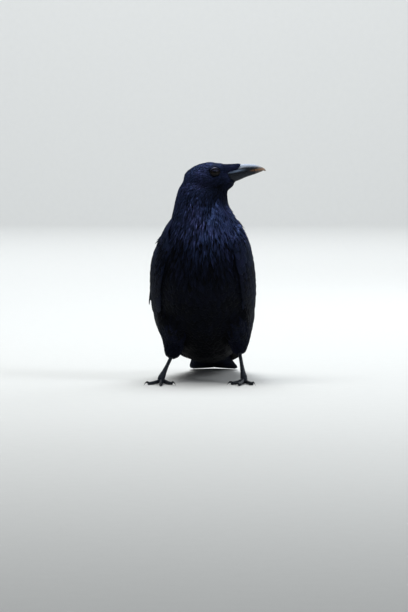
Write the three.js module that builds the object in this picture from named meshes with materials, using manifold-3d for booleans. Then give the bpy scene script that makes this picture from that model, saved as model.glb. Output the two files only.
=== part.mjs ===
// A carrion crow standing on a flat floor, as a still, life-size model.
// It faces -Y with +Z up and its left side towards +X. The head is turned to its own left,
// and the tail is laid on the floor behind. All sizes are in millimetres.
import * as THREE from "three";
import { mergeVertices } from "three/addons/utils/BufferGeometryUtils.js";
import Module from "manifold-3d";

const wasm = await Module();
wasm.setup();

// ---- Driving dimensions ------------------------------------------------------------------
const origin = [3.17, 103.44]; // the middle of the bird's box, from the point between its feet
const bodyTurn = 3.5; // degrees that the trunk turns, which swings the tail to the bird's left
const headTurn = 75; // degrees that the head turns to its left
const headRaise = 9; // degrees that the bill points up
const headCentre = [8, -20, 244.2];
const gap = 0.35; // parting gap between neighbours
const tailLength = 184;
const tailFeathers = 12;
const featherThick = 1.3;
const eyeRadius = 6.3;
const primaryTips = 6; // primaries that step out past one another, on each wing
const radians = THREE.MathUtils.degToRad;

// ---- Materials -----------------------------------------------------------------------------
const finish = (color, roughness) =>
  new THREE.MeshStandardMaterial({ color, roughness, metalness: 0 });
const plumage = finish(0x11121a, 0.5);
const flightPlumage = finish(0x0d0e15, 0.42);
const horn = finish(0x23252b, 0.35);
const scutes = finish(0x16181f, 0.4);
const iris = finish(0x1a100b, 0.08);

// ---- Making and joining solids ---------------------------------------------------------------
// A closed mesh as a solid, turned face out if its faces point in.
function solidOf(geometry) {
  const bare = geometry.index ? geometry.toNonIndexed() : geometry.clone();
  bare.deleteAttribute("normal");
  bare.deleteAttribute("uv");
  const merged = mergeVertices(bare, 1e-4);
  const place = merged.attributes.position;
  const index = merged.index.array;
  const corner = [0, 1, 2].map(() => new THREE.Vector3());
  let volume = 0;
  for (let i = 0; i < index.length; i += 3) {
    corner.forEach((c, k) => c.fromBufferAttribute(place, index[i + k]));
    volume += corner[0].dot(corner[1].clone().cross(corner[2]));
  }
  const triVerts = new Uint32Array(index);
  if (volume < 0) {
    for (let i = 0; i < triVerts.length; i += 3) {
      [triVerts[i + 1], triVerts[i + 2]] = [triVerts[i + 2], triVerts[i + 1]];
    }
  }
  const vertProperties = new Float32Array(place.array);
  return new wasm.Manifold(new wasm.Mesh({ numProp: 3, vertProperties, triVerts }));
}

function geometryOf(solid) {
  const mesh = solid.getMesh();
  const place = new Float32Array(mesh.numVert * 3);
  for (let i = 0; i < mesh.numVert; i++) {
    place.set(mesh.vertProperties.subarray(i * mesh.numProp, i * mesh.numProp + 3), i * 3);
  }
  const geometry = new THREE.BufferGeometry();
  geometry.setAttribute("position", new THREE.BufferAttribute(place, 3));
  geometry.setIndex(new THREE.BufferAttribute(new Uint32Array(mesh.triVerts), 1));
  geometry.computeVertexNormals();
  return geometry;
}

const join = (solids) => solids.reduce((all, one) => all.add(one));

// The largest of a solid's separate pieces, so that a cut leaves no crumbs.
const largest = (solid) =>
  solid.decompose().reduce((most, one) => (one.volume() > most.volume() ? one : most));

// Each station is {at, wide, top, bottom}: a point of the spine and the half sizes of the section there.
// side is the direction of wide. The two ends round off over the shares roundStart and roundEnd.
function loft(stations, options = {}) {
  const { side = [1, 0, 0], along = 12, around = 12 } = options;
  const { roundStart = 0.08, roundEnd = 0.08, grow = 0, place = null } = options;
  const curve = (points) => new THREE.CatmullRomCurve3(points, false, "catmullrom", 0.5);
  const spine = curve(stations.map((s) => new THREE.Vector3(...s.at)));
  const sizes = curve(stations.map((s) => new THREE.Vector3(s.wide, s.top, s.bottom)));
  const points = [];
  const ends = (share, round) => Math.sqrt(1 - (1 - Math.min(1, share / round)) ** 2);
  for (let i = 1; i < along; i++) {
    const even = i / along;
    const t = 0.6 * even + 0.4 * (0.5 - 0.5 * Math.cos(Math.PI * even)); // rings crowd the ends a little
    const middle = spine.getPoint(t);
    const run = spine.getTangent(t);
    const across = new THREE.Vector3(...side);
    across.addScaledVector(run, -across.dot(run)).normalize();
    const up = new THREE.Vector3().crossVectors(across, run);
    const size = sizes.getPoint(t);
    const extra = typeof grow === "function" ? grow(t) : grow;
    const cap = Math.min(ends(t, roundStart), ends(1 - t, roundEnd));
    for (let j = 0; j < around; j++) {
      const angle = (2 * Math.PI * j) / around;
      const high = Math.sin(angle) > 0 ? size.y : size.z;
      const x = Math.cos(angle) * (size.x * cap + extra);
      const y = Math.sin(angle) * (high * cap + extra);
      points.push(middle.clone().addScaledVector(across, x).addScaledVector(up, y));
    }
  }
  const first = points.length;
  const reach = typeof grow === "function" ? 0 : grow;
  points.push(spine.getPoint(0).addScaledVector(spine.getTangent(0), -reach));
  points.push(spine.getPoint(1).addScaledVector(spine.getTangent(1), reach));
  const index = [];
  const at = (i, j) => i * around + (j % around);
  for (let j = 0; j < around; j++) {
    index.push(first, at(0, j), at(0, j + 1));
    index.push(first + 1, at(along - 2, j + 1), at(along - 2, j));
    for (let i = 0; i < along - 2; i++) {
      index.push(at(i, j), at(i + 1, j), at(i + 1, j + 1));
      index.push(at(i, j), at(i + 1, j + 1), at(i, j + 1));
    }
  }
  const geometry = new THREE.BufferGeometry().setFromPoints(points).setIndex(index);
  if (place) geometry.applyMatrix4(place);
  return solidOf(geometry);
}

// An outline of [a, b] points, drawn in the plane of two axes and extruded along the third.
function extruded(outline, axes, from, to, place = null) {
  const shape = new THREE.Shape(outline.map(([a, b]) => new THREE.Vector2(a, b)));
  const geometry = new THREE.ExtrudeGeometry(shape, { depth: to - from, bevelEnabled: false });
  geometry.translate(0, 0, from);
  const [a, b, c] = axes.map((v) => new THREE.Vector3(...v));
  geometry.applyMatrix4(new THREE.Matrix4().makeBasis(a, b, c));
  if (place) geometry.applyMatrix4(place);
  return solidOf(geometry);
}

const axisX = [1, 0, 0];
const axisY = [0, 1, 0];
const axisZ = [0, 0, 1];
const sideView = [axisY, axisZ, axisX];
const planView = [axisX, axisY, axisZ];

// A block whose upper face passes through a point, square to a direction.
function halfSpace(point, direction, lift = 0) {
  const reach = 400;
  const block = new THREE.BoxGeometry(2 * reach, 2 * reach, reach);
  block.translate(0, 0, -reach / 2 + lift);
  const turn = new THREE.Quaternion().setFromUnitVectors(
    new THREE.Vector3(0, 0, 1),
    new THREE.Vector3(...direction).normalize(),
  );
  block.applyQuaternion(turn);
  block.translate(...point);
  return solidOf(block);
}

const floorBlock = halfSpace([0, 0, 0], axisZ);
const onFloor = (solid) => largest(solid.subtract(floorBlock));

// ---- Frames of the body and of the head ------------------------------------------------------
const bodyFrame = new THREE.Matrix4().makeRotationZ(-radians(bodyTurn));
// Head frame: +X along the bill, +Y to the head's left, +Z up.
const headFrame = new THREE.Matrix4()
  .makeTranslation(...headCentre)
  .multiply(new THREE.Matrix4().makeRotationZ(radians(headTurn - 90)))
  .multiply(new THREE.Matrix4().makeRotationY(-radians(headRaise)));
const headPoint = (x, y, z) => new THREE.Vector3(x, y, z).applyMatrix4(headFrame).toArray();
const headWay = (x, y, z) => new THREE.Vector3(x, y, z).transformDirection(headFrame).toArray();

// ---- Trunk and neck ----------------------------------------------------------------------------
const station = (at, wide, top, bottom) => ({ at, wide, top, bottom });
const torsoStations = [
  station([5, -19, 250], 20, 16, 16),
  station([3, -18, 233], 29.5, 26, 26),
  station([0.5, -17, 213], 33.3, 31, 31),
  station([1.8, -14, 191], 42, 37, 42),
  station([0, -6, 166], 53, 45, 55),
  station([0, 9, 135], 60, 55, 61),
  station([0, 32, 103], 60, 56, 60),
  station([0, 64, 76], 53, 47, 53),
  station([0, 98, 58], 44, 36, 41),
  station([0, 134, 42], 33, 22, 27),
  station([0, 178, 26], 18, 7, 9),
];
const torsoShape = (grow = 0) =>
  loft(torsoStations, { along: 19, around: 18, grow, place: bodyFrame });

// ---- Wings ---------------------------------------------------------------------------------------
// The folded wings together are a shell over the body: what lies between two lofts, inside an outline
// seen from the side and one seen from above.
const mantleStations = [
  station([-1.5, -22, 204], 33, 30, 30),
  station([2.5, -13, 178], 51, 41, 47),
  station([0.5, 0, 150], 61, 51, 60),
  station([0, 18, 118], 64, 59, 59),
  station([-0.5, 45, 88], 62.5, 52, 50),
  station([0, 85, 63], 58, 41, 42),
  station([1.5, 130, 44], 50.5, 27, 29),
  station([1.5, 185, 26.5], 38.5, 13, 14.5),
  station([0, 245, 11], 23, 4.2, 4.2),
];
const coverThick = 9; // at the shoulder
const tipThick = 2.2; // at the primaries' tips
const shellThick = (t) => THREE.MathUtils.lerp(coverThick, tipThick, Math.min(1, t / 0.8));
const mantle = (grow) => {
  const options = { along: 17, around: 22, roundStart: 0.05, roundEnd: 0.02, place: bodyFrame };
  return loft(mantleStations, { ...options, grow });
};
// The wing from the side, as [y, z]: down the front edge, along the lower edge, and back over the top.
const wingSide = [
  [-30, 186], [-41, 176], [-42, 160], [-36, 140], [-24, 116], [-5, 93], [31, 63],
  [78, 41], [127, 29], [185, 19], [250, 7], [262, 60], [120, 190], [40, 212], [-10, 196],
];
// The left wing from above, as [x, y]: its inner edge over the back, with a step at each primary's tip.
const wingPlan = () => {
  const outline = [[90, -60], [26, -60], [27, 0], [22, 30], [11, 60], [2, 90], [0.6, 120], [2, 150]];
  for (let i = 0; i < primaryTips; i++) {
    const reach = 162 + 81 * (i / (primaryTips - 1)) ** 0.85;
    const inset = 1.6 + 1.9 * i;
    outline.push([inset, reach - 6], [inset + 1.3, reach], [inset + 2.3, reach - 3]);
  }
  outline.push([90, 200]);
  return outline;
};
const mirrored = (outline) => outline.map(([a, b]) => [-a, b]).reverse();
function wingBand(sideSign, grow = 0) {
  const centre = new THREE.Vector2(90, 90);
  const spread = ([a, b]) => {
    const way = new THREE.Vector2(a, b).sub(centre).normalize();
    return [a + way.x * grow * 1.6, b + way.y * grow * 1.6];
  };
  const plan = sideSign > 0 ? wingPlan() : mirrored(wingPlan());
  const spreadPlan = plan.map(([a, b]) => [a - sideSign * grow, b + (b > 150 ? grow : 0)]);
  const side = extruded(wingSide.map(spread), sideView, -120, 120, bodyFrame);
  return side.intersect(extruded(spreadPlan, planView, -20, 300, bodyFrame));
}
const outerMantle = mantle(0);
const innerMantle = mantle((t) => -shellThick(t));
const wingOf = (sideSign) =>
  largest(outerMantle.subtract(innerMantle).intersect(wingBand(sideSign)));
// What the trunk gives up to a wing: the same band, a little larger all round.
const pocketOf = (sideSign) =>
  mantle(30).subtract(mantle((t) => -shellThick(t) - gap)).intersect(wingBand(sideSign, gap));

// ---- Tail ------------------------------------------------------------------------------------------
// The tail's middle line, from the rump to the flat at its tip, as a curve in the y-z plane.
const tailLine = new THREE.QuadraticBezierCurve3(
  new THREE.Vector3(0, 84, 52),
  new THREE.Vector3(0, 190, 13),
  new THREE.Vector3(0, 264, -2.5),
);
const vane = [[0, 4.5], [0.2, 7], [0.5, 9], [0.8, 10.5], [0.93, 9.5], [1, 5]]; // share of length, half width
function tailFeather(i, grow = 0) {
  const half = (tailFeathers - 1) / 2;
  const off = (i - half) / half; // -1 at the right edge, 1 at the left
  const reach = 1 - 0.07 * Math.abs(off) ** 1.6; // outer feathers are shorter
  const stations = vane.map(([t, wide]) => {
    const point = tailLine.getPoint(t * reach);
    const layer = 0.55 * featherThick * (half - Math.abs(i - half)); // the middle pair lies on top
    const at = [off * THREE.MathUtils.lerp(7, 22, t), point.y, point.z + layer];
    return station(at, wide, featherThick / 2, featherThick / 2);
  });
  const options = { along: 6, around: 6, roundStart: 0.05, roundEnd: 0.1 };
  return loft(stations, { ...options, grow, place: bodyFrame });
}
const tailShape = (grow = 0) =>
  join(Array.from({ length: tailFeathers }, (_, i) => tailFeather(i, grow)));

// ---- Head and bill -----------------------------------------------------------------------------------
// In the head frame: distance along the bill, height of the top and of the bottom, and half width.
const headRow = (x, top, bottom, wide) => {
  const middle = (top + bottom) / 2;
  return station(headPoint(x, 0, middle), wide, (top - bottom) / 2, (top - bottom) / 2);
};
const headStations = [
  headRow(-30, 4, -15, 11),
  headRow(-23, 12.6, -20, 17),
  headRow(-12.5, 19.6, -21, 20.5),
  headRow(0, 22.2, -20, 21.3),
  headRow(11, 20.6, -18.4, 18.6),
  headRow(20, 16.8, -16.8, 14.5),
  headRow(26, 15.2, -12.8, 11.5),
  headRow(30.5, 14.4, -8.6, 8.6),
];
// The nasal bristles: a wedge of stiff feathers over the base of the upper bill and the nostrils.
const bristleStations = [
  headRow(12, 16.8, 3.0, 10),
  headRow(22, 16.3, 2.6, 10.6),
  headRow(30, 15.2, 3.2, 9.6),
  headRow(37, 14.8, 5.6, 7.8),
  headRow(44, 14.2, 10.2, 4.4),
];
const headSide = headWay(0, -1, 0);
const headShape = () =>
  loft(headStations, { side: headSide, along: 15, around: 18, roundStart: 0.15, roundEnd: 0.12 }).add(
    loft(bristleStations, { side: headSide, along: 8, around: 12, roundStart: 0.1, roundEnd: 0.05 }),
  );
// The bill, by distance along it: height of the ridge, of the line where its halves meet, and of the
// lower edge, then half width. The upper half ends in a small hook past the lower one.
const billRows = [
  [14, 13.0, 1.0, -7.2, 8.2],
  [26, 13.4, 1.4, -6.8, 8.4],
  [37, 13.4, 2.0, -5.2, 7.3],
  [46, 13.1, 2.6, -2.7, 6.0],
  [57, 11.0, 3.0, -1.0, 4.3],
  [66, 7.3, 2.8, 0.8, 2.7],
  [71.5, 3.4, 1.6, 1.0, 0.9],
];
const billShape = (grow = 0) => {
  const stations = billRows.map(([x, ridge, meet, low, wide]) =>
    station(headPoint(x, 0, meet), wide, ridge - meet, meet - low),
  );
  const options = { side: headSide, along: 11, around: 14, roundStart: 0.02, roundEnd: 0.05 };
  return loft(stations, { ...options, grow });
};
// What lies above the line where the halves meet, moved down by drop.
function aboveGape(drop) {
  const line = billRows.map(([x, , meet]) => [x, meet - drop]);
  const [start, end] = [line[0][0] - 20, line.at(-1)[0] + 20];
  const outline = [[start, line[0][1]], ...line.slice(0, -1), [69.5, 0.6 - drop], [end, -9 - drop]];
  const upwards = [...outline, [end, 60], [start, 60]];
  return extruded(upwards, [axisX, axisZ, [0, -1, 0]], -40, 40, headFrame);
}

function eyeShape(sideSign, grow = 0) {
  const ball = new THREE.SphereGeometry(eyeRadius + grow, 12, 8);
  ball.translate(...headPoint(12.3, sideSign * 12.4, 8.4));
  return solidOf(ball);
}

// ---- Legs --------------------------------------------------------------------------------------------
// Each leg: the joint of the toes, the ankle, and the way down the feathered thigh.
const legs = {
  left: {
    sideSign: 1,
    foot: [50, 0, 9],
    ankle: [42, 30, 57],
    thigh: [[31, 4, 98], [38, 15, 73], [43, 23, 52], [45.6, 16.5, 33]],
    toeTurns: { inner: -36, middle: -9, outer: 22, hind: 172 },
  },
  right: {
    sideSign: -1,
    foot: [-48, 0, 9],
    ankle: [-28, 33, 50],
    thigh: [[-31, 6, 94], [-32, 18, 69], [-33, 24, 48], [-38.4, 16.5, 28]],
    toeTurns: { inner: 29, middle: -2, outer: -36, hind: 190 },
  },
};
// Toe name: length without its claw, claw length, and half thickness at the base.
const toes = {
  inner: { length: 25, claw: 11, thick: 2.8 },
  middle: { length: 37, claw: 12, thick: 3.0 },
  outer: { length: 28, claw: 10, thick: 2.7 },
  hind: { length: 18, claw: 15, thick: 3.1 },
};
const mixPoint = (a, b, t) => a.map((v, i) => v + (b[i] - v) * t);

function thighShape(leg, grow = 0) {
  const sizes = [[27, 30], [21, 25], [15, 17], [6, 6.4]];
  const stations = leg.thigh.map((at, i) => station(at, sizes[i][0], sizes[i][1], sizes[i][1]));
  return loft(stations, { along: 8, around: 12, roundStart: 0.2, roundEnd: 0.06, grow });
}

function shankShape(leg, grow = 0) {
  const at = (t) => mixPoint(leg.foot, leg.ankle, t);
  const stations = [
    station(at(-0.13), 3.6, 3.2, 3.2),
    station(at(-0.04), 4.6, 4.2, 4.2),
    station(at(0.1), 3.3, 3.8, 3.8),
    station(at(0.3), 2.3, 2.9, 2.9),
    station(at(0.7), 2.2, 2.9, 2.9),
    station(at(0.92), 3.6, 4.2, 4.2),
    station(at(1), 3.2, 3.6, 3.6),
  ];
  return loft(stations, { along: 12, around: 9, roundStart: 0.1, roundEnd: 0.05, grow });
}

// A toe leaves the joint in direction turn, in degrees from straight ahead towards the bird's left.
function toeRun(leg, name) {
  const turn = radians(leg.toeTurns[name]);
  const way = [Math.sin(turn), -Math.cos(turn)];
  const side = [Math.cos(turn), Math.sin(turn), 0];
  const at = (reach, height) => [
    leg.foot[0] + way[0] * reach,
    leg.foot[1] + 1 + way[1] * reach,
    height,
  ];
  return { at, side };
}

function toeShape(leg, name, grow = 0) {
  const { length, thick } = toes[name];
  const { at, side } = toeRun(leg, name);
  const knuckles = name === "middle" ? 3 : 2;
  const steps = 2 * knuckles + 1;
  const stations = [];
  for (let i = 0; i <= steps; i++) {
    const t = i / steps;
    const pad = i % 2 ? 1.1 : 0.9; // pads swell between the creases
    const half = thick * (1 - 0.24 * t) * pad;
    const arch = 2.4 * (1 - t) ** 3; // the toe comes down from its joint to lie on the floor
    stations.push(station(at(1 + (length - 1) * t, half * 0.74 + arch), half, half, half));
  }
  return loft(stations, { side, along: 9, around: 6, roundStart: 0.05, roundEnd: 0.08, grow });
}

function clawShape(leg, name, grow = 0) {
  const { length, claw, thick } = toes[name];
  const { at, side } = toeRun(leg, name);
  const half = thick * 0.62;
  const stations = [0, 0.35, 0.7, 1].map((t) => {
    const height = half + 0.4 + 2.2 * Math.sin(Math.PI * t) - (half + 0.2) * t * t;
    const size = half * (1 - 0.86 * t);
    return station(at(length - 1.2 + claw * t, height), size * 0.8, size, size);
  });
  return loft(stations, { side, along: 5, around: 6, roundStart: 0.05, roundEnd: 0.04, grow });
}

// ---- Putting the bird together -----------------------------------------------------------------------
const crow = new THREE.Group();
crow.name = "carrion_crow";
crow.position.set(-origin[0], -origin[1], 0);

function add(name, solid, material) {
  const mesh = new THREE.Mesh(geometryOf(solid), material);
  mesh.name = name;
  crow.add(mesh);
}

// Legs first: each thigh is cut where its shank leaves it, and each toe where it meets its neighbours.
const legSolids = {};
for (const [which, leg] of Object.entries(legs)) {
  const shankGrown = shankShape(leg, gap);
  const parts = { shank: onFloor(shankShape(leg)), toe: {}, claw: {} };
  let taken = shankGrown;
  for (const name of ["middle", "inner", "outer", "hind"]) {
    parts.toe[name] = onFloor(toeShape(leg, name).subtract(taken));
    parts.claw[name] = onFloor(clawShape(leg, name).subtract(toeShape(leg, name, gap)));
    taken = taken.add(toeShape(leg, name, gap));
  }
  parts.thigh = thighShape(leg).subtract(shankGrown);
  legSolids[which] = parts;
}

// The head takes the bill and the eyes; a sloping plane parts it from the neck.
const neckCut = [0, -18, 229];
const neckWay = new THREE.Vector3(0.15, -0.05, 0.98).normalize().toArray();
const collarCut = [0, -14, 196];
const collarWay = new THREE.Vector3(0, -0.32, 0.95).normalize().toArray();
const eyes = { left: eyeShape(1), right: eyeShape(-1) };
const bill = billShape();
const upperBill = bill.intersect(aboveGape(-gap / 2));
const lowerBill = bill.subtract(aboveGape(gap / 2));
const headHoles = join([billShape(gap), eyeShape(1, gap), eyeShape(-1, gap)]);
const torso = torsoShape();
const above = (point, way) => halfSpace(point, way.map((v) => -v), -gap / 2);
const below = (point, way) => halfSpace(point, way, -gap / 2);
const bust = torso.add(headShape());
const head = bust.intersect(above(neckCut, neckWay)).subtract(headHoles);
const neck = bust.intersect(below(neckCut, neckWay)).intersect(above(collarCut, collarWay));
const wings = { left: wingOf(1), right: wingOf(-1) };
const pockets = pocketOf(1).add(pocketOf(-1));
let trunk = torso.intersect(below(collarCut, collarWay)).subtract(pockets);
for (const leg of Object.values(legs)) {
  trunk = trunk.subtract(thighShape(leg, gap)).subtract(shankShape(leg, gap));
}
const tail = onFloor(tailShape().subtract(torsoShape(gap)));

add("head", largest(head), plumage);
add("bill_upper", largest(upperBill), horn);
add("bill_lower", largest(lowerBill), horn);
add("eye_left", eyes.left, iris);
add("eye_right", eyes.right, iris);
add("neck", largest(neck.subtract(pockets)), plumage);
add("trunk", largest(trunk), plumage);
add("tail", tail, flightPlumage);
for (const [which, parts] of Object.entries(legSolids)) {
  const wing = wings[which].subtract(tailShape(gap)).subtract(thighShape(legs[which], gap));
  add(`wing_${which}`, largest(wing), flightPlumage);
  add(`thigh_${which}`, largest(parts.thigh), plumage);
  add(`shank_${which}`, largest(parts.shank), scutes);
  for (const name of Object.keys(toes)) {
    add(`toe_${name}_${which}`, parts.toe[name], scutes);
    add(`claw_${name}_${which}`, parts.claw[name], horn);
  }
}

export default crow;
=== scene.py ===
import math
from contextlib import contextmanager

import bmesh
import bpy
import numpy as np
from mathutils import Matrix, Vector
from mathutils.bvhtree import BVHTree


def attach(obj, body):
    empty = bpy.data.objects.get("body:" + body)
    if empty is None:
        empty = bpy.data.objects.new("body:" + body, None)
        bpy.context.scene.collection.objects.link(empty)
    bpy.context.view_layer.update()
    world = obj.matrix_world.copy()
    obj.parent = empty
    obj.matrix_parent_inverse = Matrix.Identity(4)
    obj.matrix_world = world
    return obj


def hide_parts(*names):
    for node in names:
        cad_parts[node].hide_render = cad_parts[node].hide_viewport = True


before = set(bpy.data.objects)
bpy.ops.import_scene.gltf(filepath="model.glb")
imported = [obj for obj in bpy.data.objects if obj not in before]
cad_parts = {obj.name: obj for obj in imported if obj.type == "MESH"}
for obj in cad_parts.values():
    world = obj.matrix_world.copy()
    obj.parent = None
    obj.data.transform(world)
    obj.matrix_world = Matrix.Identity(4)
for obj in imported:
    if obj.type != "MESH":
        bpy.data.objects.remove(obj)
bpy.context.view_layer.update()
print("frame loaded")

# The bird is worked out in millimetres, and these frames carry it to its place in metres.
mm = 0.001
pose = {
    "origin": (-3.17, -103.44, 0),  # from the middle of the feet to the middle of the part
    "bodyTurn": -3.5,
    "headPlace": (8, -20, 244.2),
    "headTurn": -15,
    "headRaise": -9,
}


def turnBy(angle, axis):
    return Matrix.Rotation(math.radians(angle), 4, axis)


birdFrame = Matrix.Scale(mm, 4) @ Matrix.Translation(pose["origin"])
bodyFrame = birdFrame @ turnBy(pose["bodyTurn"], "Z")
headFrame = birdFrame @ Matrix.Translation(pose["headPlace"])
headFrame = headFrame @ turnBy(pose["headTurn"], "Z") @ turnBy(pose["headRaise"], "Y")
# The head's +X runs along the bill and its +Y to the bird's left. Turned, it has +Z along the bill.
headTurned = headFrame @ Matrix(((0, 0, 1, 0), (1, 0, 0, 0), (0, 1, 0, 0), (0, 0, 0, 1)))


# ---------- small tools ----------
def clearSelection():
    if bpy.context.object and bpy.context.object.mode != "OBJECT":
        bpy.ops.object.mode_set(mode="OBJECT")
    bpy.ops.object.select_all(action="DESELECT")


def makeActive(piece):
    clearSelection()
    piece.select_set(True)
    bpy.context.view_layer.objects.active = piece


def applyModifier(piece, kind, **settings):
    makeActive(piece)
    modifier = piece.modifiers.new(kind.title(), kind)
    for key, value in settings.items():
        setattr(modifier, key, value)
    bpy.ops.object.modifier_apply(modifier=modifier.name)


def subdivide(piece, levels):
    applyModifier(piece, "SUBSURF", levels=levels, render_levels=levels)


def placePiece(piece, place):  # the place goes into the mesh, and the object stays at the origin
    makeActive(piece)
    piece.matrix_world = place
    bpy.ops.object.transform_apply(location=True, rotation=True, scale=True)
    bpy.ops.object.shade_smooth()


@contextmanager
def editing(piece):  # in edit mode, with the whole mesh selected
    makeActive(piece)
    bpy.ops.object.mode_set(mode="EDIT")
    bpy.ops.mesh.select_all(action="SELECT")
    yield bmesh.from_edit_mesh(piece.data)
    bpy.ops.object.mode_set(mode="OBJECT")


def joinPieces(pieces, name):
    clearSelection()
    for piece in pieces:
        piece.select_set(True)
    bpy.context.view_layer.objects.active = pieces[0]
    bpy.ops.object.join()
    pieces[0].name = name
    return pieces[0]


def selectVerts(mesh, chosen):  # in edit mode: only these vertices
    bm = bmesh.from_edit_mesh(mesh)
    bm.verts.ensure_lookup_table()
    for face in bm.faces:
        face.select = False
    for vert in bm.verts:
        vert.select = vert.index in chosen
    bm.select_flush(True)
    bmesh.update_edit_mesh(mesh)


def dress(piece, material, replaced=()):
    piece.data.materials.clear()
    piece.data.materials.append(material)
    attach(piece, "root")
    if replaced:
        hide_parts(*replaced)


# A stem is extruded ring by ring along local Z, then each ring is sized and moved to its place.
# A ring is (along, height, half width, up, down).
def growStem(name, rings, corners):
    clearSelection()
    bpy.ops.mesh.primitive_circle_add(vertices=corners, radius=1, fill_type="NGON")
    piece = bpy.context.object
    piece.name = piece.data.name = name
    mesh = piece.data
    with editing(piece):
        bpy.ops.mesh.select_mode(type="FACE")
        for _ in rings[1:]:
            bpy.ops.mesh.extrude_region_move(TRANSFORM_OT_translate={"value": (0, 0, 1)})
        bpy.ops.mesh.select_mode(type="VERT")
        groups = [[] for _ in rings]
        for vert in bmesh.from_edit_mesh(mesh).verts:
            groups[round(vert.co.z)].append((vert.index, vert.co.y))
        for i, (along, height, wide, up, down) in enumerate(rings):
            middle = (0, 0, i)
            for half, size in ((1, up), (-1, down)):
                selectVerts(mesh, {index for index, y in groups[i] if y * half > 1e-4})
                bpy.ops.transform.resize(value=(1, size, 1), center_override=middle)
            selectVerts(mesh, {index for index, _ in groups[i]})
            bpy.ops.transform.resize(value=(wide, 1, 1), center_override=middle)
            bpy.ops.transform.translate(value=(0, height, along - i))
        bpy.ops.mesh.select_all(action="SELECT")
        bpy.ops.mesh.normals_make_consistent(inside=False)
    return piece


def addObject(name, data):
    made = bpy.data.objects.new(name, data)
    bpy.context.scene.collection.objects.link(made)
    return made


def readField(items, name, width, kind=np.float32):
    values = np.empty(len(items) * width, kind)
    items.foreach_get(name, values)
    return values.reshape(-1, width)


def readPlaces(mesh):
    return readField(mesh.vertices, "co", 3).astype(float)


def readNormals(mesh):
    return readField(mesh.vertices, "normal", 3).astype(float)


def setValues(piece, name, values):
    layer = piece.data.attributes.get(name) or piece.data.attributes.new(name, "FLOAT", "POINT")
    layer.data.foreach_set("value", np.asarray(values, np.float32))


def lookUp(table, at, column):  # a column of a table, at a place along its first column
    table = np.asarray(table, float)
    return np.interp(at, table[:, 0], table[:, column])


# ---------- materials ----------
class Socket:  # an output of a node, on which Python's operators add Math nodes
    def __init__(self, maker, link):
        self.maker, self.link = maker, link

    def math(self, operation, *values):
        return self.maker.node("ShaderNodeMath", {"operation": operation}, dict(enumerate(values)))

    def __add__(self, other):
        return self.math("ADD", self, other)

    def __sub__(self, other):
        return self.math("SUBTRACT", self, other)

    def __rsub__(self, other):
        return self.math("SUBTRACT", other, self)

    def __mul__(self, other):
        return self.math("MULTIPLY", self, other)

    __radd__ = __add__
    __rmul__ = __mul__

    def sine(self):
        return self.math("SINE", self)

    def size(self):
        return self.math("ABSOLUTE", self)


class Finish:
    def __init__(self, name, **constants):
        self.material = bpy.data.materials.new(name)
        self.material.use_nodes = True
        self.tree = self.material.node_tree
        self.shader = self.tree.nodes["Principled BSDF"]
        for key, value in constants.items():
            self.shader.inputs[key.replace("_", " ")].default_value = value

    def put(self, socket, value):
        if isinstance(value, Socket):
            self.tree.links.new(value.link, socket)
        else:
            socket.default_value = value

    def node(self, kind, settings=None, values=None, out=0):
        made = self.tree.nodes.new(kind)
        for key, value in (settings or {}).items():
            setattr(made, key, value)
        for key, value in (values or {}).items():
            self.put(made.inputs[key], value)
        return Socket(self, made.outputs[out])

    def read(self, name):
        return self.node("ShaderNodeAttribute", {"attribute_name": name}, out="Fac")

    def place(self, scale=(1, 1, 1), turned=(0, 0, 0)):
        spot = self.node("ShaderNodeTexCoord", out="Object")
        return self.node("ShaderNodeMapping", None, {0: spot, 2: turned, 3: scale})

    def parts(self, vector):
        first = self.node("ShaderNodeSeparateXYZ", None, {0: vector})
        outputs = first.link.node.outputs
        return [Socket(self, outputs[i]) for i in range(3)]

    def noise(self, vector, scale, detail=3.0):
        values = {"Vector": vector, "Scale": scale, "Detail": detail, "Roughness": 0.55}
        return self.node("ShaderNodeTexNoise", None, values)

    def mix(self, share, first, second):
        return self.node("ShaderNodeMix", {"data_type": "RGBA"}, {0: share, 6: first, 7: second}, out=2)

    def clamp(self, value, low, high):
        values = {0: value, 1: low, 2: high, 3: 0.0, 4: 1.0}
        return self.node("ShaderNodeMapRange", {"clamp": True}, values)

    def bump(self, height, strength, distance):
        values = {"Strength": strength, "Distance": distance, "Height": height}
        self.put(self.shader.inputs["Normal"], self.node("ShaderNodeBump", None, values))

    def wear(self, **sockets):
        for key, value in sockets.items():
            self.put(self.shader.inputs[key.replace("_", " ")], value)
        return self.material


# Black feather: 'gloss' is the blue-violet sheen and 'shade' differs from one feather to the next.
feather = {
    "dull": (0.0009, 0.0009, 0.0011, 1),
    "black": (0.0016, 0.0018, 0.0028, 1),
    "blue": (0.056, 0.092, 0.230, 1),
    "violet": (0.066, 0.078, 0.205, 1),
    "skyTint": (0.75, 0.84, 1.0, 1),
    "barbPitch": 0.55,
    "barbSlant": 0.8,
}


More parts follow.
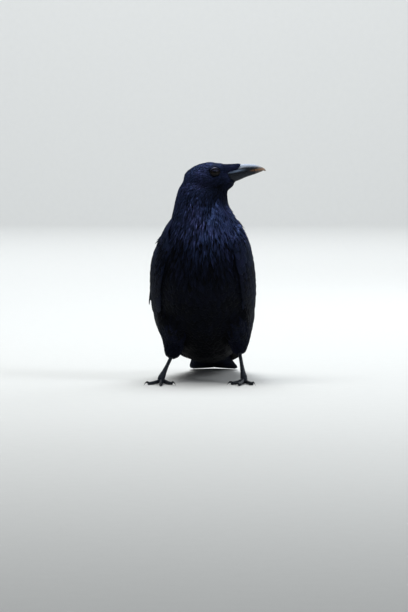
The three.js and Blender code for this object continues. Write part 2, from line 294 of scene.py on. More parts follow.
def featherFinish(name, barbs):
    made = Finish(name, IOR=1.45, Specular_IOR_Level=0.05, Specular_Tint=feather["skyTint"])
    gloss, shade = made.read("gloss"), made.read("shade")
    patch = made.noise(made.place(), 45.0, 2.0)
    tone = made.clamp(shade * 0.6 + patch * 0.8, 0.3, 1.1)
    base = made.mix(tone, feather["dull"], feather["black"])
    sheen = made.mix(made.clamp(patch + shade * 0.3, 0.45, 0.9), feather["blue"], feather["violet"])
    share = made.clamp(gloss * (0.3 + 1.0 * tone), 0.0, 1.0)
    if barbs:  # barbs run out from the shaft at a slant
        across, along, _ = made.parts(made.node("ShaderNodeUVMap", {"uv_map": "vane"}))
        slanted = along - across.size() * feather["barbSlant"]
        made.bump((slanted * (2 * math.pi / feather["barbPitch"])).sine(), 0.22, 0.0002)
    else:
        made.bump(made.noise(made.place(), 900.0), 0.4, 0.0004)
    rough = 0.68 - gloss * 0.32 + shade * 0.06
    metal = made.clamp(share, 0.0, 0.3) * 0.95
    return made.wear(Base_Color=made.mix(share, base, sheen), Roughness=rough, Metallic=metal)


horn = {
    "dark": (0.004, 0.005, 0.007, 1),
    "grey": (0.014, 0.017, 0.022, 1),
    "streak": (0.06, 0.07, 0.09, 1),
    # painted highlight: a pale blue band along the top of the bill
    "ridge": (0.27, 0.35, 0.50, 1),
    # painted highlight: a pale streak along the side of the upper bill
    "paintedShine": (0.20, 0.27, 0.40, 1),
    "tip": (0.30, 0.25, 0.21, 1),
    "rust": (0.27, 0.13, 0.06, 1),
    "skyTint": (0.75, 0.85, 1.0, 1),
    "paintedShineHeight": 0.36,
}


def hornFinish():
    made = Finish("horn", IOR=1.5, Specular_IOR_Level=0.13, Specular_Tint=horn["skyTint"],
                  Coat_Roughness=0.16, Coat_IOR=1.45)
    along = made.read("along")  # 0 at the root of the bill or claw, 1 at its tip
    side, ridge = made.read("edge"), made.read("ridge")  # 1 along the cutting edges, and along the top
    grain = made.noise(made.place(), 420.0, 4.0)
    drawn = made.place((0.25, 1, 1), (0, math.radians(9), math.radians(15)))
    streak = made.noise(drawn, 900.0, 3.0)
    base = made.mix(grain, horn["dark"], horn["grey"])
    base = made.mix(made.clamp(streak, 0.5, 0.8) * 0.4, base, horn["streak"])
    # painted highlight: the top of the bill is lightened in its base colour
    base = made.mix(made.clamp(ridge + grain * 0.3, 0.68, 1.1) * 0.9, base, horn["ridge"])
    # painted highlight: a pale streak along the side of the upper bill at this height, below the bristles
    line = made.clamp((ridge - horn["paintedShineHeight"]).size() * -6.0 + streak + 0.5, 0.0, 1.0)
    paintedShine = line * made.clamp(along * -1.0, -0.62, -0.4)  # the painted highlight fades toward the tip
    base = made.mix(paintedShine * 0.8, base, horn["paintedShine"])
    tip = made.clamp(along + grain * 0.12, 0.84, 1.02)
    base = made.mix(tip * 0.85, base, horn["tip"])
    worn = made.clamp(grain + 0.08, 0.38, 0.62) * made.clamp(along, 0.62, 0.8)
    base = made.mix(made.clamp(side * worn, 0.2, 0.9) * 0.75, base, horn["rust"])
    made.bump(streak * 0.6 + grain * 0.4, 0.25, 0.0003)
    coat = 0.06 + ridge * 0.7 + streak * 0.1
    return made.wear(Base_Color=base, Roughness=0.26 + grain * 0.16, Coat_Weight=coat)


scute = {
    "gap": (0.003, 0.004, 0.006, 1),
    "plate": (0.011, 0.014, 0.021, 1),
    "dust": (0.05, 0.055, 0.07, 1),
}


def scuteFinish():
    made = Finish("scutes", IOR=1.5, Specular_IOR_Level=0.18, Specular_Tint=horn["skyTint"])
    values = {"Vector": made.place(), "Scale": 900.0}
    cells = made.node("ShaderNodeTexVoronoi", {"feature": "DISTANCE_TO_EDGE"}, values)
    grain = made.noise(made.place(), 380.0, 4.0)
    dust = made.clamp(grain, 0.5, 0.75)
    base = made.mix(made.clamp(cells, 0.0, 0.12), scute["gap"], scute["plate"])
    base = made.mix(dust * 0.25, base, scute["dust"])
    made.bump(made.clamp(cells, 0.0, 0.18) + grain * 0.25, 0.5, 0.0004)
    return made.wear(Base_Color=base, Roughness=0.33 + dust * 0.2)


def lidFinish():
    made = Finish("lids", IOR=1.45, Specular_IOR_Level=0.07)
    grain = made.noise(made.place(), 1500.0, 3.0)
    made.bump(grain, 0.5, 0.0003)
    base = made.mix(grain, (0.002, 0.002, 0.003, 1), (0.009, 0.009, 0.012, 1))
    return made.wear(Base_Color=base, Roughness=0.6 - grain * 0.15)


eyeTones = {
    "pupil": (0.0015, 0.0015, 0.002, 1),
    "iris": ((0.003, 0.002, 0.0018, 1), (0.010, 0.006, 0.004, 1)),
    "rim": (0.003, 0.003, 0.004, 1),
    # painted reflection of the sky on the upper part of the ball
    "paintedSky": (0.040, 0.046, 0.095, 1),
}


def eyeFinish():
    made = Finish("eye", IOR=1.45, Specular_IOR_Level=0.05, Coat_Roughness=0.08, Coat_IOR=1.36,
                  Coat_Tint=(0.85, 0.88, 1.0, 1))
    out = made.read("out")  # 0 at the middle of the pupil, 1 at the edge of the ball
    paintedSky = made.read("paintedSky")  # 0 at the foot of the ball, 1 at its top: the mask of the painted sky reflection
    streak = made.noise(made.place(), 1300.0, 3.0)
    base = made.mix(made.clamp(out, 0.34, 0.40), eyeTones["pupil"], made.mix(streak, *eyeTones["iris"]))
    base = made.mix(made.clamp(out, 0.66, 0.74), base, eyeTones["rim"])
    # painted reflection: the upper part of the ball is tinted pale blue
    base = made.mix(made.clamp(paintedSky + streak * 0.06, 0.60, 0.82) * 0.75, base, eyeTones["paintedSky"])
    return made.wear(Base_Color=base, Roughness=0.08 + 0.04 * streak, Coat_Weight=0.26 + 0.06 * streak)


coatFinish = featherFinish("feathers", True)
skinFinish = featherFinish("down", False)
hornLook = hornFinish()
scuteLook = scuteFinish()
lidLook = lidFinish()
eyeLook = eyeFinish()
print("materials made")


# ---------- bill ----------
bill = {
    # distance along the bill, height of the ridge, of the cutting edge and of the keel, half width
    "rows": [(14, 13.0, 1.0, -7.2, 8.2), (20, 13.2, 1.2, -7.1, 8.4), (26, 13.4, 1.4, -6.8, 8.4),
             (32, 13.45, 1.7, -6.1, 8.0), (37, 13.4, 2.0, -5.2, 7.3), (42, 13.35, 2.3, -3.8, 6.7),
             (46, 13.1, 2.6, -2.7, 6.0), (51.5, 12.2, 2.85, -1.8, 5.2), (57, 11.0, 3.0, -1.0, 4.3),
             (61.5, 9.4, 3.0, -0.1, 3.5), (66, 7.2, 2.7, 0.9, 2.6)],
    # the last rings of each half, past the rows: along, height, half width, up, down
    "upperTip": [(69.2, 1.9, 1.7, 3.0, 0.4), (71.2, 0.6, 0.8, 1.7, 0.35)],
    "lowerTip": [(65.5, 2.3, 2.1, 0.3, 1.5), (67.6, 2.0, 1.1, 0.25, 0.7)],
    "root": 14,
    "tip": 71.5,
    "corners": 20,
    "slit": 0.35,
    "crease": 0.75,
    "worn": 2.6,  # how far from the cutting edge the rust patch reaches
}


def creaseEdges(piece):  # a firm cutting edge along each side
    with editing(piece) as bm:
        crease = bm.edges.layers.float.new("crease_edge")
        for edge in bm.edges:
            a, b = edge.verts
            onEdge = all(abs(v.co.x) > 0.3 and abs(v.normal.x) > 0.3 for v in (a, b))
            if onEdge and abs(a.co.z - b.co.z) > 0.5:
                ring = [abs(v.co.x) for v in bm.verts if abs(v.co.z - a.co.z) < 0.2]
                if abs(a.co.x) > 0.985 * max(ring):
                    edge[crease] = bill["crease"]
        bmesh.update_edit_mesh(piece.data)


def makeBill():
    upper, lower = [], []
    for x, ridge, meet, keel, wide in bill["rows"]:
        upper.append((x, meet + 0.1, wide, ridge - meet, 0.55))
        lower.append((x, meet - bill["slit"], wide * 0.93, 0.35, meet - bill["slit"] - keel))
    halves = {"upper": upper + bill["upperTip"], "lower": lower[:-1] + bill["lowerTip"]}
    for name, rings in halves.items():
        piece = growStem("bill" + name.title(), rings, bill["corners"])
        creaseEdges(piece)
        subdivide(piece, 2)
        _, height, along = readPlaces(piece.data).T
        setValues(piece, "along", (along - bill["root"]) / (bill["tip"] - bill["root"]))
        top, meet = lookUp(bill["rows"], along, 1), lookUp(bill["rows"], along, 2)
        setValues(piece, "edge", np.clip(1 - np.abs(height - meet - 0.8) / bill["worn"], 0, 1))
        setValues(piece, "ridge", np.clip((height - meet) / (top - meet), 0, 1))
        placePiece(piece, headTurned)
        bpy.ops.object.shade_smooth_by_angle(angle=math.radians(50))
        dress(piece, hornLook, ["bill_" + name])


makeBill()
print("bill made")


# ---------- eyes and lids ----------
eye = {
    "radius": 6.3,
    "centre": (12.3, 12.4, 8.4),
    "outward": (0.34, 0.935, 0.09),  # the way that the left eye looks
    "cornea": [(4.6, 0.12), (5.2, 0.16), (5.8, 0.12)],  # above each height the ball is lifted a little
    "lidRadius": 5.15,
    "lidThick": 0.85,
    "lidDrop": (0.36, 0.22),  # how far the upper and the lower lid close over the ball
}


def makeEye(side, name):
    centre = Vector(eye["centre"])
    outward = Vector(eye["outward"]).normalized()
    centre.y *= side
    outward.y *= side
    turn = outward.to_track_quat("Z", "Y").to_matrix().to_4x4()
    place = headFrame @ Matrix.Translation(centre) @ turn
    clearSelection()
    bpy.ops.mesh.primitive_uv_sphere_add(segments=40, ring_count=24, radius=eye["radius"])
    ball = bpy.context.object
    ball.name = "eyeball_" + name
    with editing(ball):
        for low, lift in eye["cornea"]:
            verts = bmesh.from_edit_mesh(ball.data).verts
            selectVerts(ball.data, {v.index for v in verts if v.co.z > low})
            bpy.ops.transform.translate(value=(0, 0, lift))
    places = readPlaces(ball.data)
    reach = np.linalg.norm(places[:, :2], axis=1) / eye["radius"]
    setValues(ball, "out", np.where(places[:, 2] > 0, reach, 1))
    placePiece(ball, place)
    # height up the ball, for the painted sky reflection
    heights = readPlaces(ball.data)[:, 2]
    setValues(ball, "paintedSky", (heights - heights.min()) / np.ptp(heights))
    dress(ball, eyeLook, ["eye_" + name])

    lift = math.sqrt(eye["radius"] ** 2 - eye["lidRadius"] ** 2) + 0.25
    clearSelection()
    bpy.ops.mesh.primitive_torus_add(major_segments=44, minor_segments=10, location=(0, 0, lift),
                                     major_radius=eye["lidRadius"], minor_radius=eye["lidThick"])
    lids = bpy.context.object
    lids.name = "lids_" + name
    bpy.ops.object.transform_apply(location=True)
    up = place.inverted().to_3x3() @ (headFrame.to_3x3() @ Vector((0, 0, 1)))
    up.z = 0
    up.normalize()
    wide = Vector((-up.y, up.x, 0))
    with editing(lids) as bm:
        for vert in bm.verts:  # the opening is lower than it is wide, and the lids stay on the ball
            way = Vector((vert.co.x, vert.co.y, 0)).normalized()
            off = vert.co - way * eye["lidRadius"] - Vector((0, 0, lift))
            high, across = way.dot(up), way.dot(wide)
            drop = eye["lidDrop"][0 if high > 0 else 1]
            reach = eye["lidRadius"] * (1 - drop * high * high) + 0.3 * across ** 4
            height = math.sqrt(eye["radius"] ** 2 - reach ** 2) + 0.2
            vert.co = way * reach + Vector((0, 0, height)) + off * (1 + 0.45 * max(high, 0))
        bmesh.update_edit_mesh(lids.data)
    subdivide(lids, 1)
    placePiece(lids, place)
    dress(lids, lidLook)


makeEye(1, "left")
makeEye(-1, "right")
print("eyes made")


# ---------- legs ----------
legs = {
    "left": {"foot": (50, 0, 9), "ankle": (42, 30, 57),
             "turns": {"inner": -36, "middle": -9, "outer": 22, "hind": 172}},
    "right": {"foot": (-48, 0, 9), "ankle": (-28, 33, 50),
              "turns": {"inner": 29, "middle": -2, "outer": -36, "hind": 190}},
}
# Each toe: its length without the claw, the claw's length, half thickness at the base.
toes = {"inner": (25, 11, 2.8), "middle": (37, 12, 3.0), "outer": (28, 10, 2.7), "hind": (18, 15, 3.1)}
shank = {
    # share of the way up, half width, depth in front, depth behind
    "rows": [(-0.13, 3.5, 3.1, 3.1), (-0.05, 4.4, 4.0, 4.0), (0.04, 3.9, 4.1, 4.0), (0.12, 3.1, 3.7, 3.6),
             (0.3, 2.3, 2.9, 2.9), (0.7, 2.2, 2.9, 2.9), (0.85, 2.8, 3.5, 3.4), (0.93, 3.5, 4.1, 4.0),
             (1.04, 3.2, 3.6, 3.6)],
    "low": -0.13,
    "run": 1.17,
    "scutes": 13,
    "corners": 14,
    "plate": [(0.0, 1.04), (0.72, 1.0), (0.9, 0.90)],  # each plate stands over the next one up
}
toe = {
    "plate": [(0.05, 1.05), (0.7, 0.99), (0.93, 0.88)],
    "plateLong": 2.7,
    "taper": 0.24,
    "pad": (0.94, 0.1),  # the pads' depth and how far they swell
    "arch": 2.4,
    "corners": 12,
}
claw = {"steps": (0, 0.12, 0.25, 0.4, 0.55, 0.7, 0.85, 1), "half": 0.62, "arch": 2.3, "corners": 10}


def makeShank(name, leg):
    foot, ankle = Vector(leg["foot"]), Vector(leg["ankle"])
    run = ankle - foot
    rings = []
    for i in range(shank["scutes"]):
        for share, swell in shank["plate"]:
            t = shank["low"] + shank["run"] * (i + share) / shank["scutes"]
            wide, front, behind = (lookUp(shank["rows"], t, k) for k in (1, 2, 3))
            rings.append((t * run.length, 0, wide * (0.5 + 0.5 * swell), behind * 0.98, front * swell))
    share, wide, front, behind = shank["rows"][-1]
    rings.append((share * run.length, 0, wide, behind, front))
    piece = growStem("shank" + name.title(), rings, shank["corners"])
    subdivide(piece, 1)
    along = run.normalized()
    back = Vector((0, 1, 0))
    back = (back - along * back.dot(along)).normalized()
    turn = Matrix((back.cross(along), back, along)).transposed().to_4x4()
    placePiece(piece, birdFrame @ Matrix.Translation(foot) @ turn)
    dress(piece, scuteLook, ["shank_" + name])


def makeToe(name, leg, key):
    length, clawLong, thick = toes[key]
    turn = math.radians(leg["turns"][key])
    side = Vector((math.cos(turn), math.sin(turn), 0))
    ahead = Vector((math.sin(turn), -math.cos(turn), 0))
    toeTurn = Matrix((side, Vector((0, 0, 1)), ahead)).transposed().to_4x4()
    foot = Vector((leg["foot"][0], leg["foot"][1] + 1, 0))
    place = birdFrame @ Matrix.Translation(foot) @ toeTurn
    plates = round(length / toe["plateLong"])
    knuckles = 3 if key == "middle" else 2
    rings = []
    for i in range(plates):
        for share, swell in toe["plate"]:
            t = (i + share) / plates
            half = thick * (1 - toe["taper"] * t)
            pad = toe["pad"][0] + toe["pad"][1] * math.sin(math.pi * (2 * knuckles * t - 0.5))
            middle = half * 0.74 + toe["arch"] * (1 - t) ** 3 + 0.35
            down = min(half * pad, middle - 0.02)  # never through the floor
            rings.append((1 + (length - 1) * t, middle, half * pad * 0.94, half * swell * 0.98, down))
    piece = growStem("toe" + key.title() + name.title(), rings, toe["corners"])
    subdivide(piece, 1)
    placePiece(piece, place)
    dress(piece, scuteLook, ["toe_%s_%s" % (key, name)])

    half = thick * claw["half"]
    rings = []
    for t in claw["steps"]:
        along = length - 2.2 + (clawLong + 1) * t
        height = half + 0.4 + claw["arch"] * math.sin(math.pi * t) - (half + 0.1) * t * t
        size = half * (1.08 - 0.98 * t) if t else half * 0.9
        rings.append((along, height, size * 0.72, size, min(size, height - 0.05)))
    piece = growStem("claw" + key.title() + name.title(), rings, claw["corners"])
    subdivide(piece, 2)
    setValues(piece, "along", (readPlaces(piece.data)[:, 2] - length) / clawLong * 0.6)
    placePiece(piece, place)
    dress(piece, hornLook, ["claw_%s_%s" % (key, name)])


for side, leg in legs.items():
    makeShank(side, leg)
    for key in toes:
        makeToe(side, leg, key)
print("legs made")


# ---------- skin ----------
skin = {
    "voxel": 0.0016,
    "smoothing": 80,
    "grow": 0.0003,  # in metres, before the parts are fused
    # distance along the bird from the root of the bill, and the coat's depth over the skin there
    "depth": [(0, 0.5), (14, 0.7), (34, 1.0), (55, 1.4), (80, 1.7), (105, 2.0), (135, 2.3),
              (230, 2.6), (300, 2.6), (380, 1.6)],
    "wingDepth": 3.0,
    "thighDepth": 2.0,
    "share": 0.36,  # the coat is never deeper than this share of the form's thickness
    "socket": (0.8, 6.0),  # the hollow round each eye: how deep and how wide
    "wingEnd": 62.0,  # past this the folded wing is all feathers
    "billEnd": 24.0,  # the bill's part that the skin takes in
    "gloss": 0.5,
    "shade": 0.3,
}
# The middle line of the bird, in the bird's own frame, from the root of the bill to the tail.
headSpine = [(30, 0, 4), (14, 0, 3), (0, 0, 1), (-12, 0, -4)]
bodySpine = [(0.5, -17, 213), (1.8, -14, 191), (0, -6, 166), (0, 9, 135), (0, 32, 103), (0, 64, 76),
             (0, 98, 58), (0, 134, 42), (0, 178, 26), (0, 240, 8)]
thighSpines = {
    "left": [(31, 4, 98), (38, 15, 73), (43, 23, 52), (45.6, 16.5, 33)],
    "right": [(-31, 6, 94), (-32, 18, 69), (-33, 24, 48), (-38.4, 16.5, 28)],
}


def fromFrame(points, place):  # points of a frame as rows of millimetres in the part's own frame
    turn = np.array(place.to_3x3()) / mm
    return np.asarray(points, float) @ turn.T + np.array(place.translation) / mm


def toFrame(points, place):  # and the other way
    turn = np.array(place.inverted().to_3x3()) * mm
    return (points - np.array(place.translation) / mm) @ turn.T


def unit(vectors):
    return vectors / np.maximum(np.linalg.norm(vectors, axis=-1, keepdims=True), 1e-9)


def ease(t):
    t = np.clip(t, 0, 1)
    return t * t * (3 - 2 * t)


def reachAlong(line):  # the distance of each point of a line from its start
    return np.concatenate([[0], np.cumsum(np.linalg.norm(np.diff(line, axis=0), axis=1))])


def alongLine(points):  # evenly spaced places, directions and distances along a line
    reach = reachAlong(points)
    steps = np.arange(0, reach[-1], 4.0)
    places = np.stack([np.interp(steps, reach, points[:, k]) for k in range(3)], 1)
    for _ in range(3):  # round the corners
        places[1:-1] = (places[:-2] + 2 * places[1:-1] + places[2:]) / 4
    return places, unit(np.gradient(places, axis=0)), steps


spineLine = np.concatenate([fromFrame(headSpine, headFrame), fromFrame(bodySpine, bodyFrame)])
spine = alongLine(spineLine)
thighLines = {side: alongLine(fromFrame(line, birdFrame)) for side, line in thighSpines.items()}


def readFlow(points, line):  # the nearest direction of a line and the distance along it
    places, ways, steps = line
    away = ((points[:, None, :] - places[None]) ** 2).sum(2)
    weight = 1 / (away + 4) ** 2.5
    weight /= weight.sum(1, keepdims=True)
    return weight @ ways, weight @ steps


def treeOf(names):
    corners, faces = [], []
    for name in names:
        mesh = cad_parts[name].data
        base = len(corners)
        corners += [v.co / mm for v in mesh.vertices]
        faces += [[base + i for i in p.vertices] for p in mesh.polygons]
    return BVHTree.FromPolygons(corners, faces)


def cutAt(place, point, way):  # in a frame: a point, and the way beyond it that is cut off
    return place @ Vector(point), (place.to_3x3() @ Vector(way)).normalized()


def copyNode(name, cut=None):
    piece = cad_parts[name].copy()
    piece.data = piece.data.copy()
    piece.name = "part_" + name
    piece.parent = None
    bpy.context.scene.collection.objects.link(piece)
    piece.hide_render = piece.hide_viewport = False
    piece.hide_set(False)
    with editing(piece):
        bpy.ops.mesh.remove_doubles(threshold=1e-6)
        if cut:
            bpy.ops.mesh.select_all(action="SELECT")
            bpy.ops.mesh.bisect(plane_co=cut[0], plane_no=cut[1], use_fill=True, clear_outer=True)
    return piece


def shellsOf(bm):  # the mesh's unconnected parts
    seen, shells = set(), []
    for first in bm.verts:
        if first in seen:
            continue
        shell, edge = {first}, [first]
        while edge:
            vert = edge.pop()
            for link in vert.link_edges:
                other = link.other_vert(vert)
                if other not in shell:
                    shell.add(other)
                    edge.append(other)
        seen |= shell
        shells.append(shell)
    return shells


def makeGuide():  # one smooth closed surface round the feathered parts: where the tips of the coat lie
    wingCut = cutAt(bodyFrame, (0, skin["wingEnd"], 60), (0, 1, 0))
    billCut = cutAt(headFrame, (skin["billEnd"], 0, 0), (1, 0, 0))
    pieces = [copyNode(name) for name in ("head", "neck", "trunk", "thigh_left", "thigh_right")]
    pieces += [copyNode(name, wingCut) for name in ("wing_left", "wing_right")]
    pieces += [copyNode(name, billCut) for name in ("bill_upper", "bill_lower")]
    guide = joinPieces(pieces, "skin")
    applyModifier(guide, "DISPLACE", strength=skin["grow"], mid_level=0.0)
    applyModifier(guide, "REMESH", mode="VOXEL", voxel_size=skin["voxel"])
    with editing(guide) as bm:  # keep the outer shell only
        shells = shellsOf(bm)
        keep = max(shells, key=len)
        selectVerts(guide.data, {v.index for shell in shells if shell is not keep for v in shell})
        bpy.ops.mesh.delete(type="VERT")
    return guide


# Each round moves a place toward the middle of its neighbours and back, so that the form doesn't shrink.
def smoothMesh(mesh, places, rounds, weight, factors=(0.55, -0.565)):
    a, b = readField(mesh.edges, "vertices", 2, np.int32).T
    count = len(places)
    links = np.bincount(a, minlength=count) + np.bincount(b, minlength=count)
    for _ in range(rounds):
        for factor in factors:
            total = np.empty_like(places)
            for k in range(places.shape[1]):
                total[:, k] = np.bincount(a, places[b, k], count) + np.bincount(b, places[a, k], count)
            places = places + factor * weight[:, None] * (total / np.maximum(links, 1)[:, None] - places)
    return places


def writePlaces(mesh, places):
    mesh.vertices.foreach_set("co", (places * mm).ravel())
    mesh.update()


guide = makeGuide()
guidePlaces = readPlaces(guide.data) / mm
_, guideReach = readFlow(guidePlaces, spine)
headAxes = np.array(headFrame.inverted().to_3x3()) * mm

local = toFrame(guidePlaces, headFrame)  # the face keeps its form, and the chin and nape run smoothly on
soften = np.clip(np.maximum((guideReach - 16) / 26, (-7 - local[:, 2]) / 5), 0.10, 1)
guidePlaces = smoothMesh(guide.data, guidePlaces, skin["smoothing"], soften)
x, _, z = toFrame(guidePlaces, headFrame).T  # fill the hollows under the chin and behind the crown
chin = ease((x - 4) / 6) * ease((-6 - z) / 4) * ease((z + 52) / 8)
nape = ease((-13 - x) / 6) * ease((8 - z) / 6) * ease((z + 50) / 8)
guidePlaces = smoothMesh(guide.data, guidePlaces, 30, np.maximum(chin, nape), (0.5,))
chin = ease((x - 14) / 8) * ease((-6 - z) / 4) * ease((z + 40) / 8)
guidePlaces += np.outer(chin * 1.5, headAxes.T @ np.array((-0.5, 0, 0.87)))


# The turned head draws a fold across the throat, from below the cheek down to the bird's right. It is
# pressed into the skin, and its gloss is darkened as painted shade.
fold = {
    "start": (10.0, 221.0),
    "end": (-8.0, 194.4),
    "deep": 1.7,
    "wide": 2.4,
    "front": (-115, 15),  # it fades out behind this place, over this distance
    "paintedCreaseShade": 0.8,  # the gloss that is taken out in it, as painted shade in the crease
    "gloss": (0.36, 0.74),  # the share of the gloss that is everywhere, and the throat's own
}


def byFold(points):  # how far in the fold a place lies, and whether it is on the throat's side of it
    start, end = np.array(fold["start"]), np.array(fold["end"])
    run = end - start
    length = np.linalg.norm(run)
    run /= length
    flat = points[:, [0, 2]] - start
    along, aside = flat @ run, flat @ np.array((-run[1], run[0]))
    beyond = np.maximum(np.maximum(-along, along - length), 0)
    front = ease((fold["front"][0] - points[:, 1]) / fold["front"][1])
    inFold = np.exp(-(aside ** 2 + 0.3 * beyond ** 2) / fold["wide"] ** 2) * front
    return inFold, ease((aside + 2) / 7) * front


guidePlaces -= readNormals(guide.data) * (byFold(guidePlaces)[0] * fold["deep"])[:, None]
writePlaces(guide.data, guidePlaces)
print("guide surface made,", len(guide.data.polygons), "faces")

guideNormals = readNormals(guide.data)
guideFaces = [tuple(p.vertices) for p in guide.data.polygons]
guideTree = BVHTree.FromPolygons([Vector(p) for p in guidePlaces], guideFaces)
faceNormals = unit(np.array([guideNormals[list(f)].mean(0) for f in guideFaces]))
faceMiddles = np.array([guidePlaces[list(f)].mean(0) for f in guideFaces])
wingTree = treeOf(("wing_left", "wing_right"))
thighTrees = {side: treeOf(("thigh_" + side,)) for side in thighLines}


def nearTree(points, tree, reach):
    return np.array([tree.find_nearest(Vector(p), reach)[0] is not None for p in points])


def layOn(points):  # nearest places on the guide, the way out there, and the faces
    places, faces = np.empty_like(points), np.empty(len(points), int)
    for i, point in enumerate(points):
        places[i], _, faces[i], _ = guideTree.find_nearest(Vector(point))
    return places, faceNormals[faces], faces


def eyeDistance(points):  # from the nearer eye's own axis
    local = toFrame(points, headFrame)
    local[:, 1] = np.abs(local[:, 1])
    away = local - np.array(eye["centre"])
    axis = unit(np.array(eye["outward"]))
    along = away @ axis
    flat = (away - along[:, None] * axis) * (1, 1, 1.2)
    return np.where(along > -2, np.linalg.norm(flat, axis=1), 99)


def depthAt(points, reach):
    depth = lookUp(skin["depth"], reach, 1)
    depth = np.where(nearTree(points, wingTree, 1.0), skin["wingDepth"], depth)
    for tree in thighTrees.values():
        depth = np.where(nearTree(points, tree, 1.0), np.minimum(depth, skin["thighDepth"]), depth)
    return depth


def makeSkin():
    thick = np.empty(len(guidePlaces))
    for i, (place, normal) in enumerate(zip(guidePlaces, guideNormals)):
        hit = guideTree.ray_cast(Vector(place - normal * 0.05), Vector(-normal), 40)
        thick[i] = hit[3] if hit[0] is not None else 40
    depth = np.minimum(depthAt(guidePlaces, guideReach), skin["share"] * thick)
    depth = smoothMesh(guide.data, depth[:, None], 6, np.ones(len(depth)))[:, 0]
    depth = np.clip(depth, 0.15, 6)
    deep, wide = skin["socket"]
    depth += deep * np.exp(-((eyeDistance(guidePlaces) / wide) ** 2))
    writePlaces(guide.data, guidePlaces - guideNormals * depth[:, None])
    return depth


skinDepth = makeSkin()
with editing(guide):
    bpy.ops.uv.smart_project(angle_limit=math.radians(60), island_margin=0.002)
skinLayer = guide.data.uv_layers.active
faceStarts = np.array([p.loop_start for p in guide.data.polygons])
faceCounts = np.array([p.loop_total for p in guide.data.polygons])
# where each face of the skin lies on its own map
faceSpots = np.add.reduceat(readField(skinLayer.data, "uv", 2), faceStarts, axis=0) / faceCounts[:, None]
skinLayer.name = "skinMap"


# The blue-violet gloss by distance along the bird, in front and behind.
glossTable = [(0, 0.12, 0.28), (14, 0.06, 0.42), (32, 0.08, 0.6), (46, 0.55, 0.5), (58, 1.5, 0.3),
              (80, 1.3, 0.16), (92, 0.28, 0.13), (110, 0.04, 0.12), (150, 0.01, 0.1), (400, 0.01, 0.08)]
# The way that the bird's front faces, by distance along the bird. At the head it is the head's own down.
frontTable = [(60, 0.85, -0.5, -0.2), (90, 0.5, -0.85, 0.0), (130, 0.1, -0.98, -0.1),
              (200, 0.0, -0.9, -0.4), (300, 0.0, -0.3, -0.95)]


def frontShare(points, normals):  # 1 on the throat, breast and belly, 0 on the back
    _, reach = readFlow(points, spine)
    down = unit(np.array(headFrame.to_3x3() @ Vector((0, 0, -1))) / mm)
    facing = unit(np.stack([lookUp([(0, *down), *frontTable], reach, k) for k in (1, 2, 3)], 1))
    return np.clip(0.5 + 0.75 * (normals * facing).sum(1), 0, 1)


def glossAt(points, normals, reach):
    front = frontShare(points, normals)
    ahead, behind = lookUp(glossTable, reach, 1), lookUp(glossTable, reach, 2)
    inFold, throat = byFold(points)
    everywhere, more = fold["gloss"]
    # painted shade: the gloss is dimmed along the fold
    ahead = ahead * (everywhere + more * throat) * (1 - fold["paintedCreaseShade"] * inFold)
    return front * ahead + (1 - front) * behind


setValues(guide, "gloss", glossAt(guidePlaces, guideNormals, guideReach) * skin["gloss"])
setValues(guide, "shade", np.full(len(guidePlaces), skin["shade"]))
makeActive(guide)
bpy.ops.object.shade_smooth()
dress(guide, skinFinish, ["head", "neck", "trunk", "thigh_left", "thigh_right"])
print("skin made")


# ---------- feathers ----------
# One feather is a thin closed blade: rings of raised columns over a flat under side, ending in a point.
def bladeMesh(name, top, under, tips, values, spots, across, share):
    count, rows, columns, _ = top.shape
    ring = columns + 1
    each = rows * ring + 1
    rings = np.concatenate([top, under[:, :, None, :]], axis=2).reshape(count, rows * ring, 3)
    places = np.concatenate([rings, tips[:, None, :]], axis=1).reshape(-1, 3)
    quads = []
    for a in range(0, (rows - 1) * ring, ring):
        b = a + ring
        for c in range(columns - 1):
            quads.append((a + c, b + c, b + c + 1, a + c + 1))
        quads.append((a, a + columns, b + columns, b))
        quads.append((a + columns, a + columns - 1, b + columns - 1, b + columns))
    a, tip = (rows - 1) * ring, rows * ring
    triangles = [(a + c, tip, a + c + 1) for c in range(columns - 1)]
    triangles += [(a, a + columns, tip), (a + columns, a + columns - 1, tip)]
    pattern = np.concatenate([np.ravel(quads), np.ravel(triangles), np.arange(ring)])
    sizes = np.concatenate([np.full(len(quads), 4), np.full(len(triangles), 3), [ring]])
    loops = (np.arange(count)[:, None] * each + pattern[None]).ravel()
    starts = np.concatenate([[0], np.cumsum(np.tile(sizes, count))[:-1]])
    mesh = bpy.data.meshes.new(name)
    mesh.vertices.add(len(places))
    mesh.vertices.foreach_set("co", (places * mm).ravel())
    mesh.loops.add(len(loops))
    mesh.loops.foreach_set("vertex_index", loops.astype(np.int32))
    mesh.polygons.add(len(starts))
    mesh.polygons.foreach_set("loop_start", starts.astype(np.int32))
    mesh.update(calc_edges=True)
    # where each vertex lies on its blade, for the barbs and for the map of the skin
    share = np.append(np.repeat(share, ring), 1.0)
    across = np.append(np.tile(np.append(across, 0.0), rows), 0.0)
    vane = np.stack([across * values["wide"][:, None], share * values["long"][:, None]], 2)
    spot = spots[:, None, :] + np.stack([across * 0.5, share - 0.5], 1)[None] * 0.003
    for layerName, data in (("OFBake", spot), ("vane", vane)):
        layer = mesh.uv_layers.new(name=layerName)
        layer.data.foreach_set("uv", data.reshape(-1, 2)[loops].astype(np.float32).ravel())
    # the two edges of the blade are sharp
    column = np.append(np.tile(np.arange(ring), rows), -1)
    kind = column[readField(mesh.edges, "vertices", 2, np.int32) % each]
    sharp = (kind == 0).all(1) | (kind == columns - 1).all(1)
    mesh.attributes.new("sharp_edge", "BOOLEAN", "EDGE").data.foreach_set("value", sharp)
    piece = addObject(name, mesh)
    for key in ("gloss", "shade"):
        setValues(piece, key, np.repeat(values[key], each))
    return piece


def roundEnd(t, start):  # 1 along the blade, then a round end
    return np.sqrt(np.clip(1 - np.clip((t - start) / (1 - start), 0, 1) ** 2, 0, 1))


